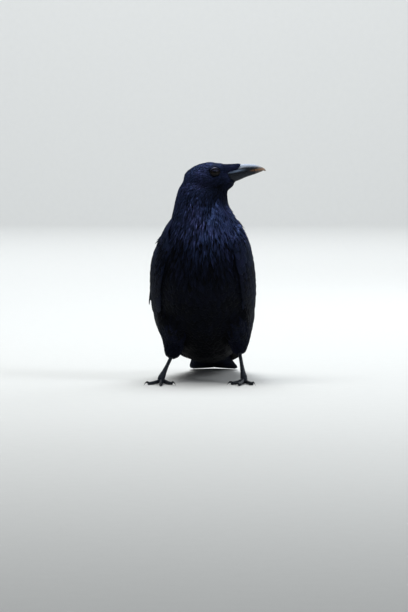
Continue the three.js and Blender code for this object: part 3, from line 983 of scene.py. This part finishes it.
coat = {
    "seed": 41,
    "density": 1.0,
    # distance along the bird: spacing of the feathers, length, half width
    "sizes": [(0, 0.85, 4.0, 0.50), (14, 1.0, 5.6, 0.62), (34, 1.3, 8.0, 0.85), (55, 1.8, 11, 1.3),
              (80, 2.4, 15, 2.0), (105, 3.0, 18, 3.0), (135, 3.6, 21, 4.2), (175, 4.2, 25, 5.0),
              (230, 4.6, 28, 5.4), (300, 5.2, 32, 5.8), (380, 6.0, 40, 6.4)],
    "tries": 5,
    "thick": 0.20,
    "steps": 6,
    # the bristles over the nostrils, and the feathers of the thighs
    "bristle": {"wide": 0.38, "point": 1.0, "lift": 0.35, "gloss": 0.3, "rough": 0.05},
    "bristleSpacing": 0.95,
    "bristleEnd": 46,  # how far along the bill their tips reach
    "bristleLong": (3.5, 11),
    "thigh": {"wide": 3.2, "point": 0.45, "gloss": 0.05, "rough": 0.35},
    "thighSpacing": 3.0,
    "thighLong": 15,
    "rough": [(0, 0.12), (60, 0.15), (150, 0.2), (230, 0.3)],
    "yaw": [(0, 0.10), (60, 0.13), (200, 0.15)],
    "hackles": (34, 22, 112, 30),  # where the throat's narrow feathers begin and end, and how softly
    "hackle": {"closer": 0.38, "narrower": 0.5, "lift": 0.8, "gloss": 0.5},
    "vary": {"long": 0.08, "wide": 0.06, "lift": 0.10, "gloss": 0.2},
    "wingLap": 15.0,  # how far the coat laps over the wing's front edge
    "overWing": 0.55,  # how much higher it lies there
    "eyeRing": 5.1,  # no roots nearer to the middle of the eye
}
random = np.random.default_rng(coat["seed"])


def scatter(spacing, allowed):  # roots a spacing apart on the guide
    a, b, c, d = (guidePlaces[[f[k] for f in guideFaces]] for k in (0, 1, 2, -1))
    area = np.linalg.norm(np.cross(c - a, d - b), axis=1) / 2 + 1e-9
    chance = area / spacing ** 2 * allowed
    chance /= chance.sum()
    total = int(coat["tries"] * (area * allowed / spacing ** 2).sum())
    faces = random.choice(len(guideFaces), total, p=chance)
    s, t = random.random((2, total, 1))
    points = a[faces] * (1 - s) * (1 - t) + b[faces] * s * (1 - t)
    points = points + c[faces] * s * t + d[faces] * (1 - s) * t
    gaps = spacing[faces]
    cell = spacing[allowed > 0].max()
    grid, kept = {}, []
    keys = np.floor(points / cell).astype(int)
    around = [(i, j, k) for i in (-1, 0, 1) for j in (-1, 0, 1) for k in (-1, 0, 1)]
    for n in range(total):
        x, y, z = keys[n]
        point, gap = points[n], gaps[n]
        near = [m for i, j, k in around for m in grid.get((x + i, y + j, z + k), ())]
        if near:
            away = ((points[near] - point) ** 2).sum(1)
            if (away < (gap * 0.5 + gaps[near] * 0.5) ** 2).any():
                continue
        grid.setdefault((x, y, z), []).append(n)
        kept.append(n)
    return points[kept], faces[kept]


bristleWay = unit(headAxes.T @ np.array((1.0, 0, -0.12)))


def bristleShare(points):  # the stiff feathers over the nostrils point forward along the bill
    x, _, z = toFrame(points, headFrame).T
    return ease((x - 10) / 4) * ease((z - 1.5 - 0.27 * np.maximum(x - 12, 0)) / 1.5)


def flowAt(points, normals, thigh):
    ways, _ = readFlow(points, spine)
    for side, line in thighLines.items():
        pick = thigh == side
        if pick.any():
            ways[pick] = readFlow(points[pick], line)[0]
    ahead = bristleShare(points)[:, None]
    ways = ways * (1 - ahead) + bristleWay * ahead
    ways = ways - (ways * normals).sum(1, keepdims=True) * normals
    return unit(ways)


def growCoat(name, roots, normals, faces, form, thigh, rows, columns):
    # form holds one value for each feather: long, wide, deep, lift, point, rough, gloss, yaw
    count, steps = len(roots), coat["steps"]
    path, out, way = [roots], [normals], []
    place, normal = roots, normals
    for i in range(steps):
        flow = flowAt(place, normal, thigh)
        side = np.cross(normal, flow)
        flow = unit(flow * np.cos(form["yaw"])[:, None] + side * np.sin(form["yaw"])[:, None])
        way.append(flow)
        place, normal, _ = layOn(place + flow * (form["long"] / steps)[:, None])
        path.append(place)
        out.append(normal)
    way.append(way[-1])
    path, out, way = (np.stack(v, 1) for v in (path, out, way))
    side = unit(np.cross(out, way))
    t = np.linspace(0, 1, rows + 1)
    low = np.minimum((t * steps).astype(int), steps - 1)
    part = (t * steps - low)[None, :, None]

    def fine(values):  # from the steps of the path to the rows of the blade
        return values[:, low] * (1 - part) + values[:, low + 1] * part

    def rail(sign):  # the blade's edge, laid on the guide
        spot = path + sign * side * form["wide"][:, None, None]
        return fine(layOn(spot.reshape(-1, 3))[0].reshape(spot.shape))

    centre, normal = fine(path), unit(fine(out))
    right, left = rail(-1), rail(1)
    blunt = (0.42 + 0.58 * ease(t / 0.45)) * roundEnd(t, 0.62)
    keen = (0.5 + 0.5 * ease(t / 0.35)) * (1 - np.clip((t - 0.3) / 0.7, 0, 1) ** 1.5)
    point = form["point"][:, None]
    width = blunt[None] * (1 - point) + keen[None] * point
    lie = -(form["deep"][:, None] + 0.3) * (1 - t[None]) ** 1.25 + form["lift"][:, None] * t[None] ** 2.5
    top = np.empty((count, rows, len(columns), 3))
    wild = form["rough"][:, None] * (0.4 + 0.6 * t[None])
    for k, s in enumerate(columns):
        spread = width * abs(s)
        if abs(s) == 1:
            spread = spread * (1 + wild * random.uniform(-1, 0.6, (count, rows + 1)))
        flat = centre + ((left if s > 0 else right) - centre) * spread[:, :, None]
        rise = lie + form["wide"][:, None] * width * 0.10 * (1 - abs(s) ** 2 * 1.4)
        if s == 0:
            rise = rise + coat["thick"] * 0.5
        line = flat + normal * rise[:, :, None]
        if abs(s) == 1:  # the barbs' ends reach on a little
            reach = form["long"][:, None] * 0.05 + wild * random.uniform(-1.0, 1.0, (count, rows + 1))
            line = line + fine(way) * reach[:, :, None] * (1 - t[None, :, None] * 0.5)
        top[:, :, k] = line[:, :rows]
    under = centre[:, :rows] + normal[:, :rows] * (lie[:, :rows, None] - coat["thick"])
    tips = centre[:, -1] + normal[:, -1] * lie[:, -1:]
    values = {**form, "shade": random.random(count)}
    piece = bladeMesh(name, top, under, tips, values, faceSpots[faces], columns, np.linspace(0, 1, rows))
    dress(piece, coatFinish)
    piece.data.calc_loop_triangles()
    print(name, count, "feathers,", len(piece.data.loop_triangles), "triangles")


# The folded wing's outline from the side and from above, in the body's frame.
wingSide = [(-34, 172), (-41, 166), (-42, 156), (-36, 140), (-24, 116), (-5, 93), (31, 63),
            (78, 41), (127, 29), (185, 19), (250, 7), (262, 60), (120, 190), (40, 204), (-8, 182)]
wingInner = [(-60, 26), (0, 27), (30, 22), (60, 11), (90, 2), (260, 1)]


def insideOutline(outline, x, y):
    inside = np.zeros(len(x), bool)
    for (x1, y1), (x2, y2) in zip(outline, outline[1:] + outline[:1]):
        crosses = (y1 > y) != (y2 > y)
        inside ^= crosses & (x < (x2 - x1) * (y - y1) / (y2 - y1 + 1e-9) + x1)
    return inside


def overWing(points, lap=0.0):
    # inside the folded wing's outline, but for the strip along its front and top that the body's coat laps
    x, y, z = toFrame(points, bodyFrame).T
    aside = np.abs(x) > lookUp(wingInner, y, 1) + 1.5 + lap * (1 - ease((y - 50) / 40))
    lap = lap * (0.35 + 0.65 * ease((z - 95) / 45))
    return aside & insideOutline(wingSide, y, z) & insideOutline(wingSide, y - 0.8 * lap, z - 0.5 * lap)


def growBody():
    _, reach = readFlow(faceMiddles, spine)
    start, rise, end, fall = coat["hackles"]
    hackle = frontShare(faceMiddles, faceNormals) * ease((reach - start) / rise)
    hackle *= 1 - ease((reach - end) / fall)
    thigh = np.full(len(faceMiddles), "", dtype="<U5")
    for side, tree in thighTrees.items():
        thigh[nearTree(faceMiddles, tree, 0.9)] = side
    onThigh = thigh != ""
    bristle = bristleShare(faceMiddles)
    more, vary = coat["hackle"], coat["vary"]
    spacing = lookUp(coat["sizes"], reach, 1) * (1 - more["closer"] * hackle)
    spacing[onThigh] = coat["thighSpacing"]
    spacing /= math.sqrt(coat["density"])
    spacing[bristle > 0.5] = coat["bristleSpacing"]
    allowed = (~overWing(faceMiddles, coat["wingLap"])).astype(float)
    allowed[eyeDistance(faceMiddles) < coat["eyeRing"]] = 0
    x, y, z = toFrame(faceMiddles, headFrame).T
    byBill = (np.abs(y) < 9.5) & (z > -7.5) & (bristle < 0.5)
    cut = faceNormals @ unit(headAxes[0]) > 0.5  # where the bill comes out of the skin
    allowed[byBill & (x > 21) & cut] = 0
    allowed[byBill & (x > 17 + 0.5 * (4 - z).clip(0, 9))] = 0
    roots, faces = scatter(spacing, allowed)
    normals = faceNormals[faces]
    reach, hackle, thigh, onThigh, bristle = (v[faces] for v in (reach, hackle, thigh, onThigh, bristle))
    jitter = random.normal(size=(4, len(roots)))
    glossVaries = (vary["gloss"] + more["gloss"] * hackle) * jitter[3]
    narrow = 1 - more["narrower"] * hackle
    form = {
        "long": lookUp(coat["sizes"], reach, 2) * (1 + vary["long"] * jitter[0]),
        "wide": lookUp(coat["sizes"], reach, 3) * narrow * (1 + vary["wide"] * jitter[1]),
        "point": np.clip(hackle * 1.1 + 0.12, 0, 1),
        "lift": vary["lift"] * jitter[2] + more["lift"] * hackle * np.abs(jitter[3]),
        "rough": lookUp(coat["rough"], reach, 1),
        "gloss": np.clip(glossAt(roots, normals, reach) * (1 + glossVaries), 0, 1),
        "yaw": lookUp(coat["yaw"], reach, 1) * jitter[2],
        "deep": skinDepth[[guideFaces[f][0] for f in faces]],
    }
    form["long"][onThigh] = coat["thighLong"] + jitter[0][onThigh]
    for key, value in coat["thigh"].items():
        form[key][onThigh] = value
    form["lift"][overWing(roots)] += coat["overWing"]
    # those round the eye are shorter and stop at the lids
    form["long"] *= np.clip(0.35 + (eyeDistance(roots) - 5) / 8, 0.4, 1)
    for key, value in coat["bristle"].items():
        form[key] = form[key] * (1 - bristle) + value * bristle
    toTip = np.clip(coat["bristleEnd"] - toFrame(roots, headFrame)[:, 0], *coat["bristleLong"])
    form["long"] = np.where(bristle > 0.5, toTip, form["long"])
    fine, full = np.array((-1, 0, 1)), np.array((-1, -0.45, 0, 0.45, 1))
    # the pieces by distance along the bird, the rows along each feather and the columns across it
    groups = {
        "headCoat": (0, 38, 5, fine),
        "napeCoat": (38, 68, 6, fine),
        "neckCoat": (68, 118, 7, full),
        "bodyCoat": (118, math.inf, 8, full),
        "thighCoat": (0, math.inf, 6, full),
    }
    for name, (start, end, rows, columns) in groups.items():
        pick = (reach >= start) & (reach < end) & (onThigh == (name == "thighCoat"))
        part = {key: value[pick] for key, value in form.items()}
        growCoat(name, roots[pick], normals[pick], faces[pick], part, thigh[pick], rows, columns)


growBody()


# ---------- wings ----------
# The folded wings lie on one smooth form over the body: its middle, half width, and reach up and down.
wing = {
    "form": [(-1.5, -22, 204, 33, 30, 30), (2.5, -13, 178, 51, 41, 47), (0.5, 0, 150, 61, 51, 60),
             (0, 18, 118, 64, 59, 59), (-0.5, 45, 88, 62.5, 52, 50), (0, 85, 63, 58, 41, 42),
             (1.5, 130, 44, 50.5, 27, 29), (1.5, 185, 26.5, 38.5, 13, 14.5), (0, 245, 11, 23, 4.2, 4.2)],
    # distance back along the wing, and the angle from straight up of its lower edge
    "band": [(0, 105), (15, 110), (30, 131), (60, 127), (90, 125), (120, 123), (180, 122),
             (240, 126), (300, 134), (330, 138), (352, 142)],
    "below": 20,  # steps of two degrees under the lower edge
    "step": 4.0,  # the pitch of the grid on this form
    "back": (0, 353),
    "up": (-16, 173),
    "lap": 9,  # how far the left wing's inner feathers lie over the right wing's
    "lapLift": 0.7,
    "shoulder": (0.26, 75),  # the shoulder shines like the neck: how much more, and how far back that fades
    "seed": 7,
}
# Layers from the deepest out. Each feather: start back and up, tip back and up, half width.
primaryTips = [(302, 5), (334, 6), (347, 11), (340, 17), (328, 25), (316, 33), (304, 41), (291, 49),
               (277, 57), (263, 64)]
quills = {
    "primaries": [(150, 4 + 3.2 * i, back, up, 8.4) for i, (back, up) in enumerate(primaryTips)],
    "secondaries": [(100, 24 + 7.5 * i, 262 - 2.6 * i - 0.1 * i * i, 43 + 3.6 * i, 9.4)
                    for i in range(9)],
    "tertials": [(96, 84 + 8 * i, 248 - 17 * i, 65 + 9 * i, 12.5) for i in range(3)],
    "handCoverts": [(108, 4 + 1.8 * i, 190 - 5.5 * i, 5 + 2.6 * i, 4.8) for i in range(7)],
    "greaterCoverts": [(106, 5 + 6.6 * i, 156 + 0.5 * i - 0.05 * i * i, 7 + 6.9 * i, 7.0)
                       for i in range(17)],
    "alula": [(92, 5 + 3 * i, 140 - 11 * i, 5 + 4.0 * i, 4.8) for i in range(3)],
    "middleCoverts": [(96, 5 + 6.8 * i, 127 + 0.4 * i, 6 + 7.0 * i, 7.2) for i in range(17)],
}
# Height of each layer at the root and the tip, the slope across a feather, blunt or keen, gloss.
layers = {
    "primaries": (-2.3, -0.6, 0.9, 0.5, 0.03),
    "secondaries": (-1.7, -0.6, 1.0, 0.25, 0.04),
    "tertials": (-1.2, -0.4, 0.8, 0.1, 0.06),
    "handCoverts": (-1.3, -0.5, 0.6, 0.4, 0.03),
    "greaterCoverts": (-1.5, -0.25, 0.9, 0.1, 0.04),
    "alula": (-1.0, -0.1, 0.5, 0.3, 0.03),
    "middleCoverts": (-1.3, -0.05, 0.7, 0.1, 0.04),
    "lesserCoverts": (-1.6, 0.0, 0.2, 0.1, 0.05),
    "mantle": (-0.9, 1.2, 0.2, 0.15, 0.09),
    "looseCoverts": (-1.2, 2.6, 0.3, 0.7, 0.05),
}
# Loose coverts of the right wing, whose tips stand off the flank.
loose = [(86, 27, 122, 25, 4.2), (88, 34, 128, 32, 4.4), (92, 41, 131, 39, 4.2)]
lesser = {
    # where the tips of each row lie, half width and length of its feathers
    "rows": [(113, 6.4, 30), (102, 6.0, 28), (91, 5.7, 27), (81, 5.4, 25), (71, 5.1, 24), (61, 4.8, 23),
             (52, 4.5, 22), (43, 4.2, 21), (35, 3.9, 20), (27, 3.6, 18), (20, 3.4, 16)],
    # distance back, and how far up from the lower edge the rows reach
    "reach": [(0, 30), (15, 51), (30, 87), (45, 100), (60, 110), (75, 120), (105, 122), (130, 115)],
}
mantle = {
    "tips": (22, 186, 8),
    "sizes": [(22, 4.4, 20), (186, 6.6, 34)],  # distance back, half width, length
    "reach": [(22, 17), (60, 27), (120, 22), (186, 7)],  # distance back, reach to each side
}


def wingForm(side):  # places on the wing's surface by distance back and distance up from its lower edge
    rows = np.array(wing["form"], float)
    count = len(rows)
    padded = np.vstack([2 * rows[0] - rows[1], rows, 2 * rows[-1] - rows[-2]])
    at = np.linspace(0, count - 1, 401)
    low = np.minimum(at.astype(int), count - 2)
    w = (at - low)[:, None]
    p0, p1, p2, p3 = (padded[low + k] for k in range(4))
    v0, v1 = (p2 - p0) / 2, (p3 - p1) / 2
    line = (2 * p1 - 2 * p2 + v0 + v1) * w ** 3 + (-3 * p1 + 3 * p2 - 2 * v0 - v1) * w ** 2 + v0 * w + p1
    reach = reachAlong(line[:, :3])
    run = unit(np.gradient(line[:, :3], axis=0))
    step = wing["step"]
    backs, ups = np.arange(*wing["back"], step), np.arange(*wing["up"], step)
    grid, middles = np.empty((len(backs), len(ups), 3)), np.empty(len(backs))
    for i, back in enumerate(backs):
        row = [np.interp(back, reach, line[:, k]) for k in range(6)]
        ahead = unit(np.array([np.interp(back, reach, run[:, k]) for k in range(3)]))
        # round the body in steps of two degrees, from under the lower edge to past the middle of the back
        angle = np.radians(90 - np.arange(lookUp(wing["band"], back, 1) + 2 * wing["below"], -70, -2.0))
        rise = np.where(np.sin(angle) > 0, row[4], row[5]) * np.sin(angle)
        ring = np.array(row[:3]) + np.outer(side * np.cos(angle) * row[3], (1, 0, 0))
        ring = ring + np.outer(rise, (0, -ahead[2], ahead[1]))
        length = reachAlong(ring)
        length -= length[wing["below"]]
        grid[i] = np.stack([np.interp(ups, length, ring[:, k]) for k in range(3)], 1)
        middles[i] = np.interp(math.pi / 2, angle, length)
    grid = fromFrame(grid.reshape(-1, 3), bodyFrame).reshape(grid.shape)
    out = unit(np.cross(np.gradient(grid, axis=0), np.gradient(grid, axis=1))) * side

    def overBack(back, aside):  # a place and the way out, by distance from the middle of the back
        x = np.clip(back / step, 0, len(backs) - 1.001)
        y = np.clip((np.interp(back, backs, middles) + aside - ups[0]) / step, 0, len(ups) - 1.001)
        i, j = x.astype(int), y.astype(int)
        x, y = (x - i)[..., None], (y - j)[..., None]
        near, far = ([f[i, k] * (1 - x) + f[i + 1, k] * x for f in (grid, out)] for k in (j, j + 1))
        place, normal = (a * (1 - y) + b * y for a, b in zip(near, far))
        return place, unit(normal)

    def surface(back, up):  # the same by distance up from the wing's lower edge
        lap = wing["lap"]
        aside = np.minimum(up - np.interp(back, backs, middles), lap if side > 0 else 0)
        place, normal = overBack(back, aside)
        return place + normal * (side * wing["lapLift"] * ease((aside + lap) / lap))[..., None], normal

    return surface, overBack


vaneColumns = np.array([-1, -0.5, 0, 0.5, 1])


def spotsOf(places):  # where the nearest bit of skin lies on the skin's own map
    return faceSpots[layOn(places)[2]]


def growLayer(name, side, surface, rows):
    rootLift, tipLift, slope, point, gloss = layers[name]
    count = len(rows)
    back0, up0, back1, up1, half = np.array(rows, float).T
    long = np.hypot(back1 - back0, up1 - up0)
    steps = 12 if long.mean() > 60 else 9
    t = 1 - (1 - np.linspace(0, 1, steps + 1)) ** (2.0 if steps == 12 else 1.25)
    back1 = back1 + random.uniform(-1.2, 1.2, count)
    back = back0[:, None] + (back1 - back0)[:, None] * t
    up = up0[:, None] + (up1 - up0)[:, None] * t ** 1.15
    start = np.clip(1 - (1.2 + 1.1 * point) * half / long, 0.3, 0.97)[:, None]
    end = np.clip((t - start) / (1 - start), 0, 1)
    width = half[:, None] * (0.55 + 0.45 * ease(t / 0.35)) * np.sqrt(1 - end ** (2 - 0.5 * point))
    lie = rootLift + (tipLift - rootLift) * ease(t)[None]
    top = np.empty((count, steps, len(vaneColumns), 3))
    for k, s in enumerate(vaneColumns):
        aside = s * side * width
        if abs(s) == 1:
            aside = aside * (1 + 0.05 * random.uniform(-1, 0.4, aside.shape))
        place, normal = surface(back, up + aside)
        rise = lie - slope * (s * side + 1) / 2 + 0.05 * width * (1 - s * s)
        if s == 0:
            rise = rise + 0.22
        top[:, :, k] = (place + normal * rise[:, :, None])[:, :steps]
    place, normal = surface(back, up)
    under = (place + normal * (lie - slope / 2 - 0.3)[:, :, None])[:, :steps]
    tips = (place + normal * (lie - slope / 2)[:, :, None])[:, -1]
    more, fade = wing["shoulder"]
    gloss = gloss + more * np.clip(1 - back1 / fade, 0, 1)
    values = {"wide": half, "long": long, "gloss": gloss * random.uniform(0.8, 1.2, count),
              "shade": random.random(count)}
    return bladeMesh(name, top, under, tips, values, spotsOf(place[:, 0]), vaneColumns, t[:steps])


def rowOf(tip, half, long, ups, draw, jog):  # a row of feathers, whose roots are drawn together a little
    rows = []
    for up in ups:
        up = up + random.uniform(-0.8, 0.8)
        shift = random.uniform(-jog, jog)
        rows.append((tip - long + shift, up * draw, tip + shift, up, half * random.uniform(0.92, 1.08)))
    return rows


def lesserRows():
    rows = []
    for tip, half, long in lesser["rows"]:
        wide = lookUp(lesser["reach"], tip, 1)
        count = int(wide / (half * 1.25))
        rows += rowOf(tip, half, long, [1 + (wide - 2) * i / count for i in range(count + 1)], 0.98, 2.2)
    return rows


def mantleRows():  # the feathers of the back, which cover the inner edges of both wings
    rows = []
    for tip in range(*mantle["tips"]):
        half, long = (lookUp(mantle["sizes"], tip, k) for k in (1, 2))
        wide = lookUp(mantle["reach"], tip, 1)
        count = int(2 * wide / (half * 1.3))
        rows += rowOf(tip, half, long, [wide * (2 * i / count - 1) for i in range(count + 1)], 0.96, 2.5)
    return rows


def makeWing(side, name):
    surface, overBack = wingForm(side)
    parts = [growLayer(key, side, surface, quills[key]) for key in quills]
    parts.append(growLayer("lesserCoverts", side, surface, lesserRows()))
    if side > 0:
        parts.append(growLayer("mantle", side, overBack, mantleRows()))
    else:
        parts.append(growLayer("looseCoverts", side, surface, loose))
    piece = joinPieces(parts, "quills_" + name)
    dress(piece, coatFinish, ["wing_" + name])
    print("wing", name, len(piece.data.polygons), "faces")


random = np.random.default_rng(wing["seed"])
makeWing(1, "left")
makeWing(-1, "right")


# ---------- tail ----------
tail = {
    "line": [(84, 52), (190, 17), (264, -2.5)],  # back and up: its start, its bend and its end
    "wide": [(0, 4.5), (0.2, 7), (0.5, 9), (0.8, 10.5), (0.93, 9.5), (1, 5)],
    "long": 184.0,
    "count": 12,
    "thick": 1.3,
    # the coverts over its root: how far back, how high, and the half width of the row there
    "over": [(70, 88, 26), (130, 58, 25), (170, 39, 23), (205, 23.5, 20), (232, 12, 15)],
    "overTips": (132, 230, 8),
    "overPitch": 6.5,
    "overLong": 38.0,
    "overWide": 5.4,
    "steps": 12,
}


def tailQuills():  # each feather's line, half width and place across
    half = (tail["count"] - 1) / 2
    t = 1 - (1 - np.linspace(0, 1, tail["steps"] + 1)) ** 1.6
    for i in range(tail["count"]):
        off = (i - half) / half
        reach = 1 - 0.07 * abs(off) ** 1.6
        at = t * reach
        y, z = ((1 - at) ** 2 * a + 2 * at * (1 - at) * b + at ** 2 * c for a, b, c in zip(*tail["line"]))
        z = z + 0.55 * tail["thick"] * (half - abs(i - half)) + 0.5
        # the tip is square, so its outer barbs reach nearly as far as the shaft
        wide = lookUp(tail["wide"], t, 1) * (1 - np.clip((t - 0.93) / 0.07, 0, 1) ** 2 * 0.5)
        yield off * (7 + 15 * t), y, z, wide, off, tail["long"] * reach


def tailCoverts():
    t = 1 - (1 - np.linspace(0, 1, tail["steps"] + 1)) ** 1.4
    long = tail["overLong"]
    for tip in range(*tail["overTips"]):
        count = int(2 * lookUp(tail["over"], tip, 2) / tail["overPitch"])
        for i in range(count + 1):
            off = 2 * i / count - 1
            y = tip - 4 * abs(off) + random.uniform(-2, 2) - long * (1 - t)
            x = off * lookUp(tail["over"], y, 2)
            z = lookUp(tail["over"], y, 1) - 9 * off * off + 0.6 * t
            yield x, y, z, tail["overWide"] * np.sqrt(1 - t ** 3), off, long


def makeTail():
    tops, unders, tips, longs = [], [], [], []
    steps = tail["steps"]
    for x, y, z, wide, off, long in [*tailQuills(), *tailCoverts()]:
        top = np.empty((steps, len(vaneColumns), 3))
        for k, s in enumerate(vaneColumns):
            fall = -0.6 * abs(s) - 0.4 * s * off + (0.3 if s == 0 else 0)
            wild = random.uniform(-0.03, 0.02, steps + 1) if abs(s) == 1 else 0
            top[:, k] = np.stack([x + s * wide * (1 + wild), y, np.maximum(z + fall, 0.4)], 1)[:steps]
        tops.append(top)
        unders.append(np.stack([x, y, np.maximum(z - 0.45, 0.05)], 1)[:steps])
        tips.append((x[-1], y[-1], max(z[-1] - 0.2, 0.2)))
        longs.append(long)
    count = len(tops)
    top, under, tip = (fromFrame(np.reshape(places, (-1, 3)), bodyFrame).reshape(np.shape(places))
                       for places in (tops, unders, tips))
    values = {"wide": np.full(count, 10.0), "long": np.array(longs), "gloss": np.full(count, 0.08),
              "shade": random.random(count)}
    share = np.linspace(0, 1, steps + 1)[:steps]
    piece = bladeMesh("rectrices", top, under, tip, values, spotsOf(top[:, 0, 2]), vaneColumns, share)
    dress(piece, coatFinish, ["tail"])


makeTail()
print("wings and tail made")

# ---------- camera, floor and lights ----------
studio = {
    "lens": 200.0,
    "distance": 4.08,
    "tilt": 3.0,  # degrees that the camera looks down
    "aim": (-0.00077, -0.10344, 0.0936),
    "floor": (6, 8, 2.2),  # half width, height of the wall, and the sweep between the two
    "lightAim": (0, 0, 0.13),
    "world": (0.80, 0.84, 0.88, 1),
    "worldPower": 0.14,
}
# Each light: its place, the point that it faces, size, power and colour.
lights = {
    "key": ((-0.8, -0.9, 2.2), studio["lightAim"], (1.2, 1.2), 24, (1.0, 0.99, 0.97)),
    "fill": ((1.5, -1.3, 1.2), studio["lightAim"], (0.8, 0.8), 13, (0.93, 0.96, 1.0)),
    "top": ((0.1, 0.25, 2.3), studio["lightAim"], (1.6, 1.6), 40, (0.95, 0.98, 1.0)),
    "rim": ((1.3, 1.6, 1.3), studio["lightAim"], (0.8, 0.8), 10, (0.92, 0.96, 1.0)),
    "backdrop": ((0, 2.2, 4.5), (0, 6.5, 1.5), (4.0, 1.5), 330, (0.96, 0.98, 1.0)),
}


def lookAlong(way):
    return way.to_track_quat("-Z", "Y").to_euler()


def makeCamera():
    tilt = math.radians(studio["tilt"])
    x, y, z = studio["aim"]
    target = Vector((x, y, z / math.cos(tilt)))
    away = Vector((0, -math.cos(tilt), math.sin(tilt)))
    data = bpy.data.cameras.new("camera")
    data.lens = studio["lens"]
    data.sensor_width = data.sensor_height = 36
    data.clip_end = 50
    camera = addObject("camera", data)
    camera.location = target + away * studio["distance"]
    camera.rotation_euler = lookAlong(-away)
    bpy.context.scene.camera = camera


def makeFloor():
    wide, high, sweep = studio["floor"]
    clearSelection()
    bpy.ops.mesh.primitive_plane_add(size=2, location=(0, 0.5, 0))
    floor = bpy.context.object
    floor.name = "floor"
    with editing(floor):
        bpy.ops.transform.resize(value=(wide, wide, 1))
        selectVerts(floor.data, {v.index for v in bmesh.from_edit_mesh(floor.data).verts if v.co.y > 0})
        bpy.ops.mesh.extrude_region_move(TRANSFORM_OT_translate={"value": (0, 0, high)})
        for edge in bmesh.from_edit_mesh(floor.data).edges:  # the sweep from the floor up to the wall
            edge.select = all(v.co.y > 1 and abs(v.co.z) < 0.01 for v in edge.verts)
        bmesh.update_edit_mesh(floor.data)
        bpy.ops.mesh.bevel(offset=sweep, segments=14)
    bpy.ops.object.transform_apply(location=True)
    bpy.ops.object.shade_smooth()
    paper = Finish("paper", Specular_IOR_Level=0.2)
    grain = paper.noise(paper.place(), 60.0)
    tint = paper.mix(grain, (0.66, 0.67, 0.66, 1), (0.69, 0.70, 0.69, 1))
    floor.data.materials.append(paper.wear(Base_Color=tint, Roughness=0.8 + 0.1 * grain))


def addLight(name, spot, aim, size, power, colour):
    data = bpy.data.lights.new(name, "AREA")
    data.shape = "RECTANGLE"
    data.size, data.size_y = size
    data.energy, data.color = power, colour
    light = addObject(name, data)
    light.location = spot
    light.rotation_euler = lookAlong(Vector(aim) - Vector(spot))


makeCamera()
makeFloor()
for name, light in lights.items():
    addLight(name, *light)
world = bpy.data.worlds.new("studio")
bpy.context.scene.world = world
world.use_nodes = True
background = world.node_tree.nodes["Background"]
background.inputs["Color"].default_value = studio["world"]
background.inputs["Strength"].default_value = studio["worldPower"]
bpy.context.scene.view_settings.view_transform = "Standard"
print("stage made")
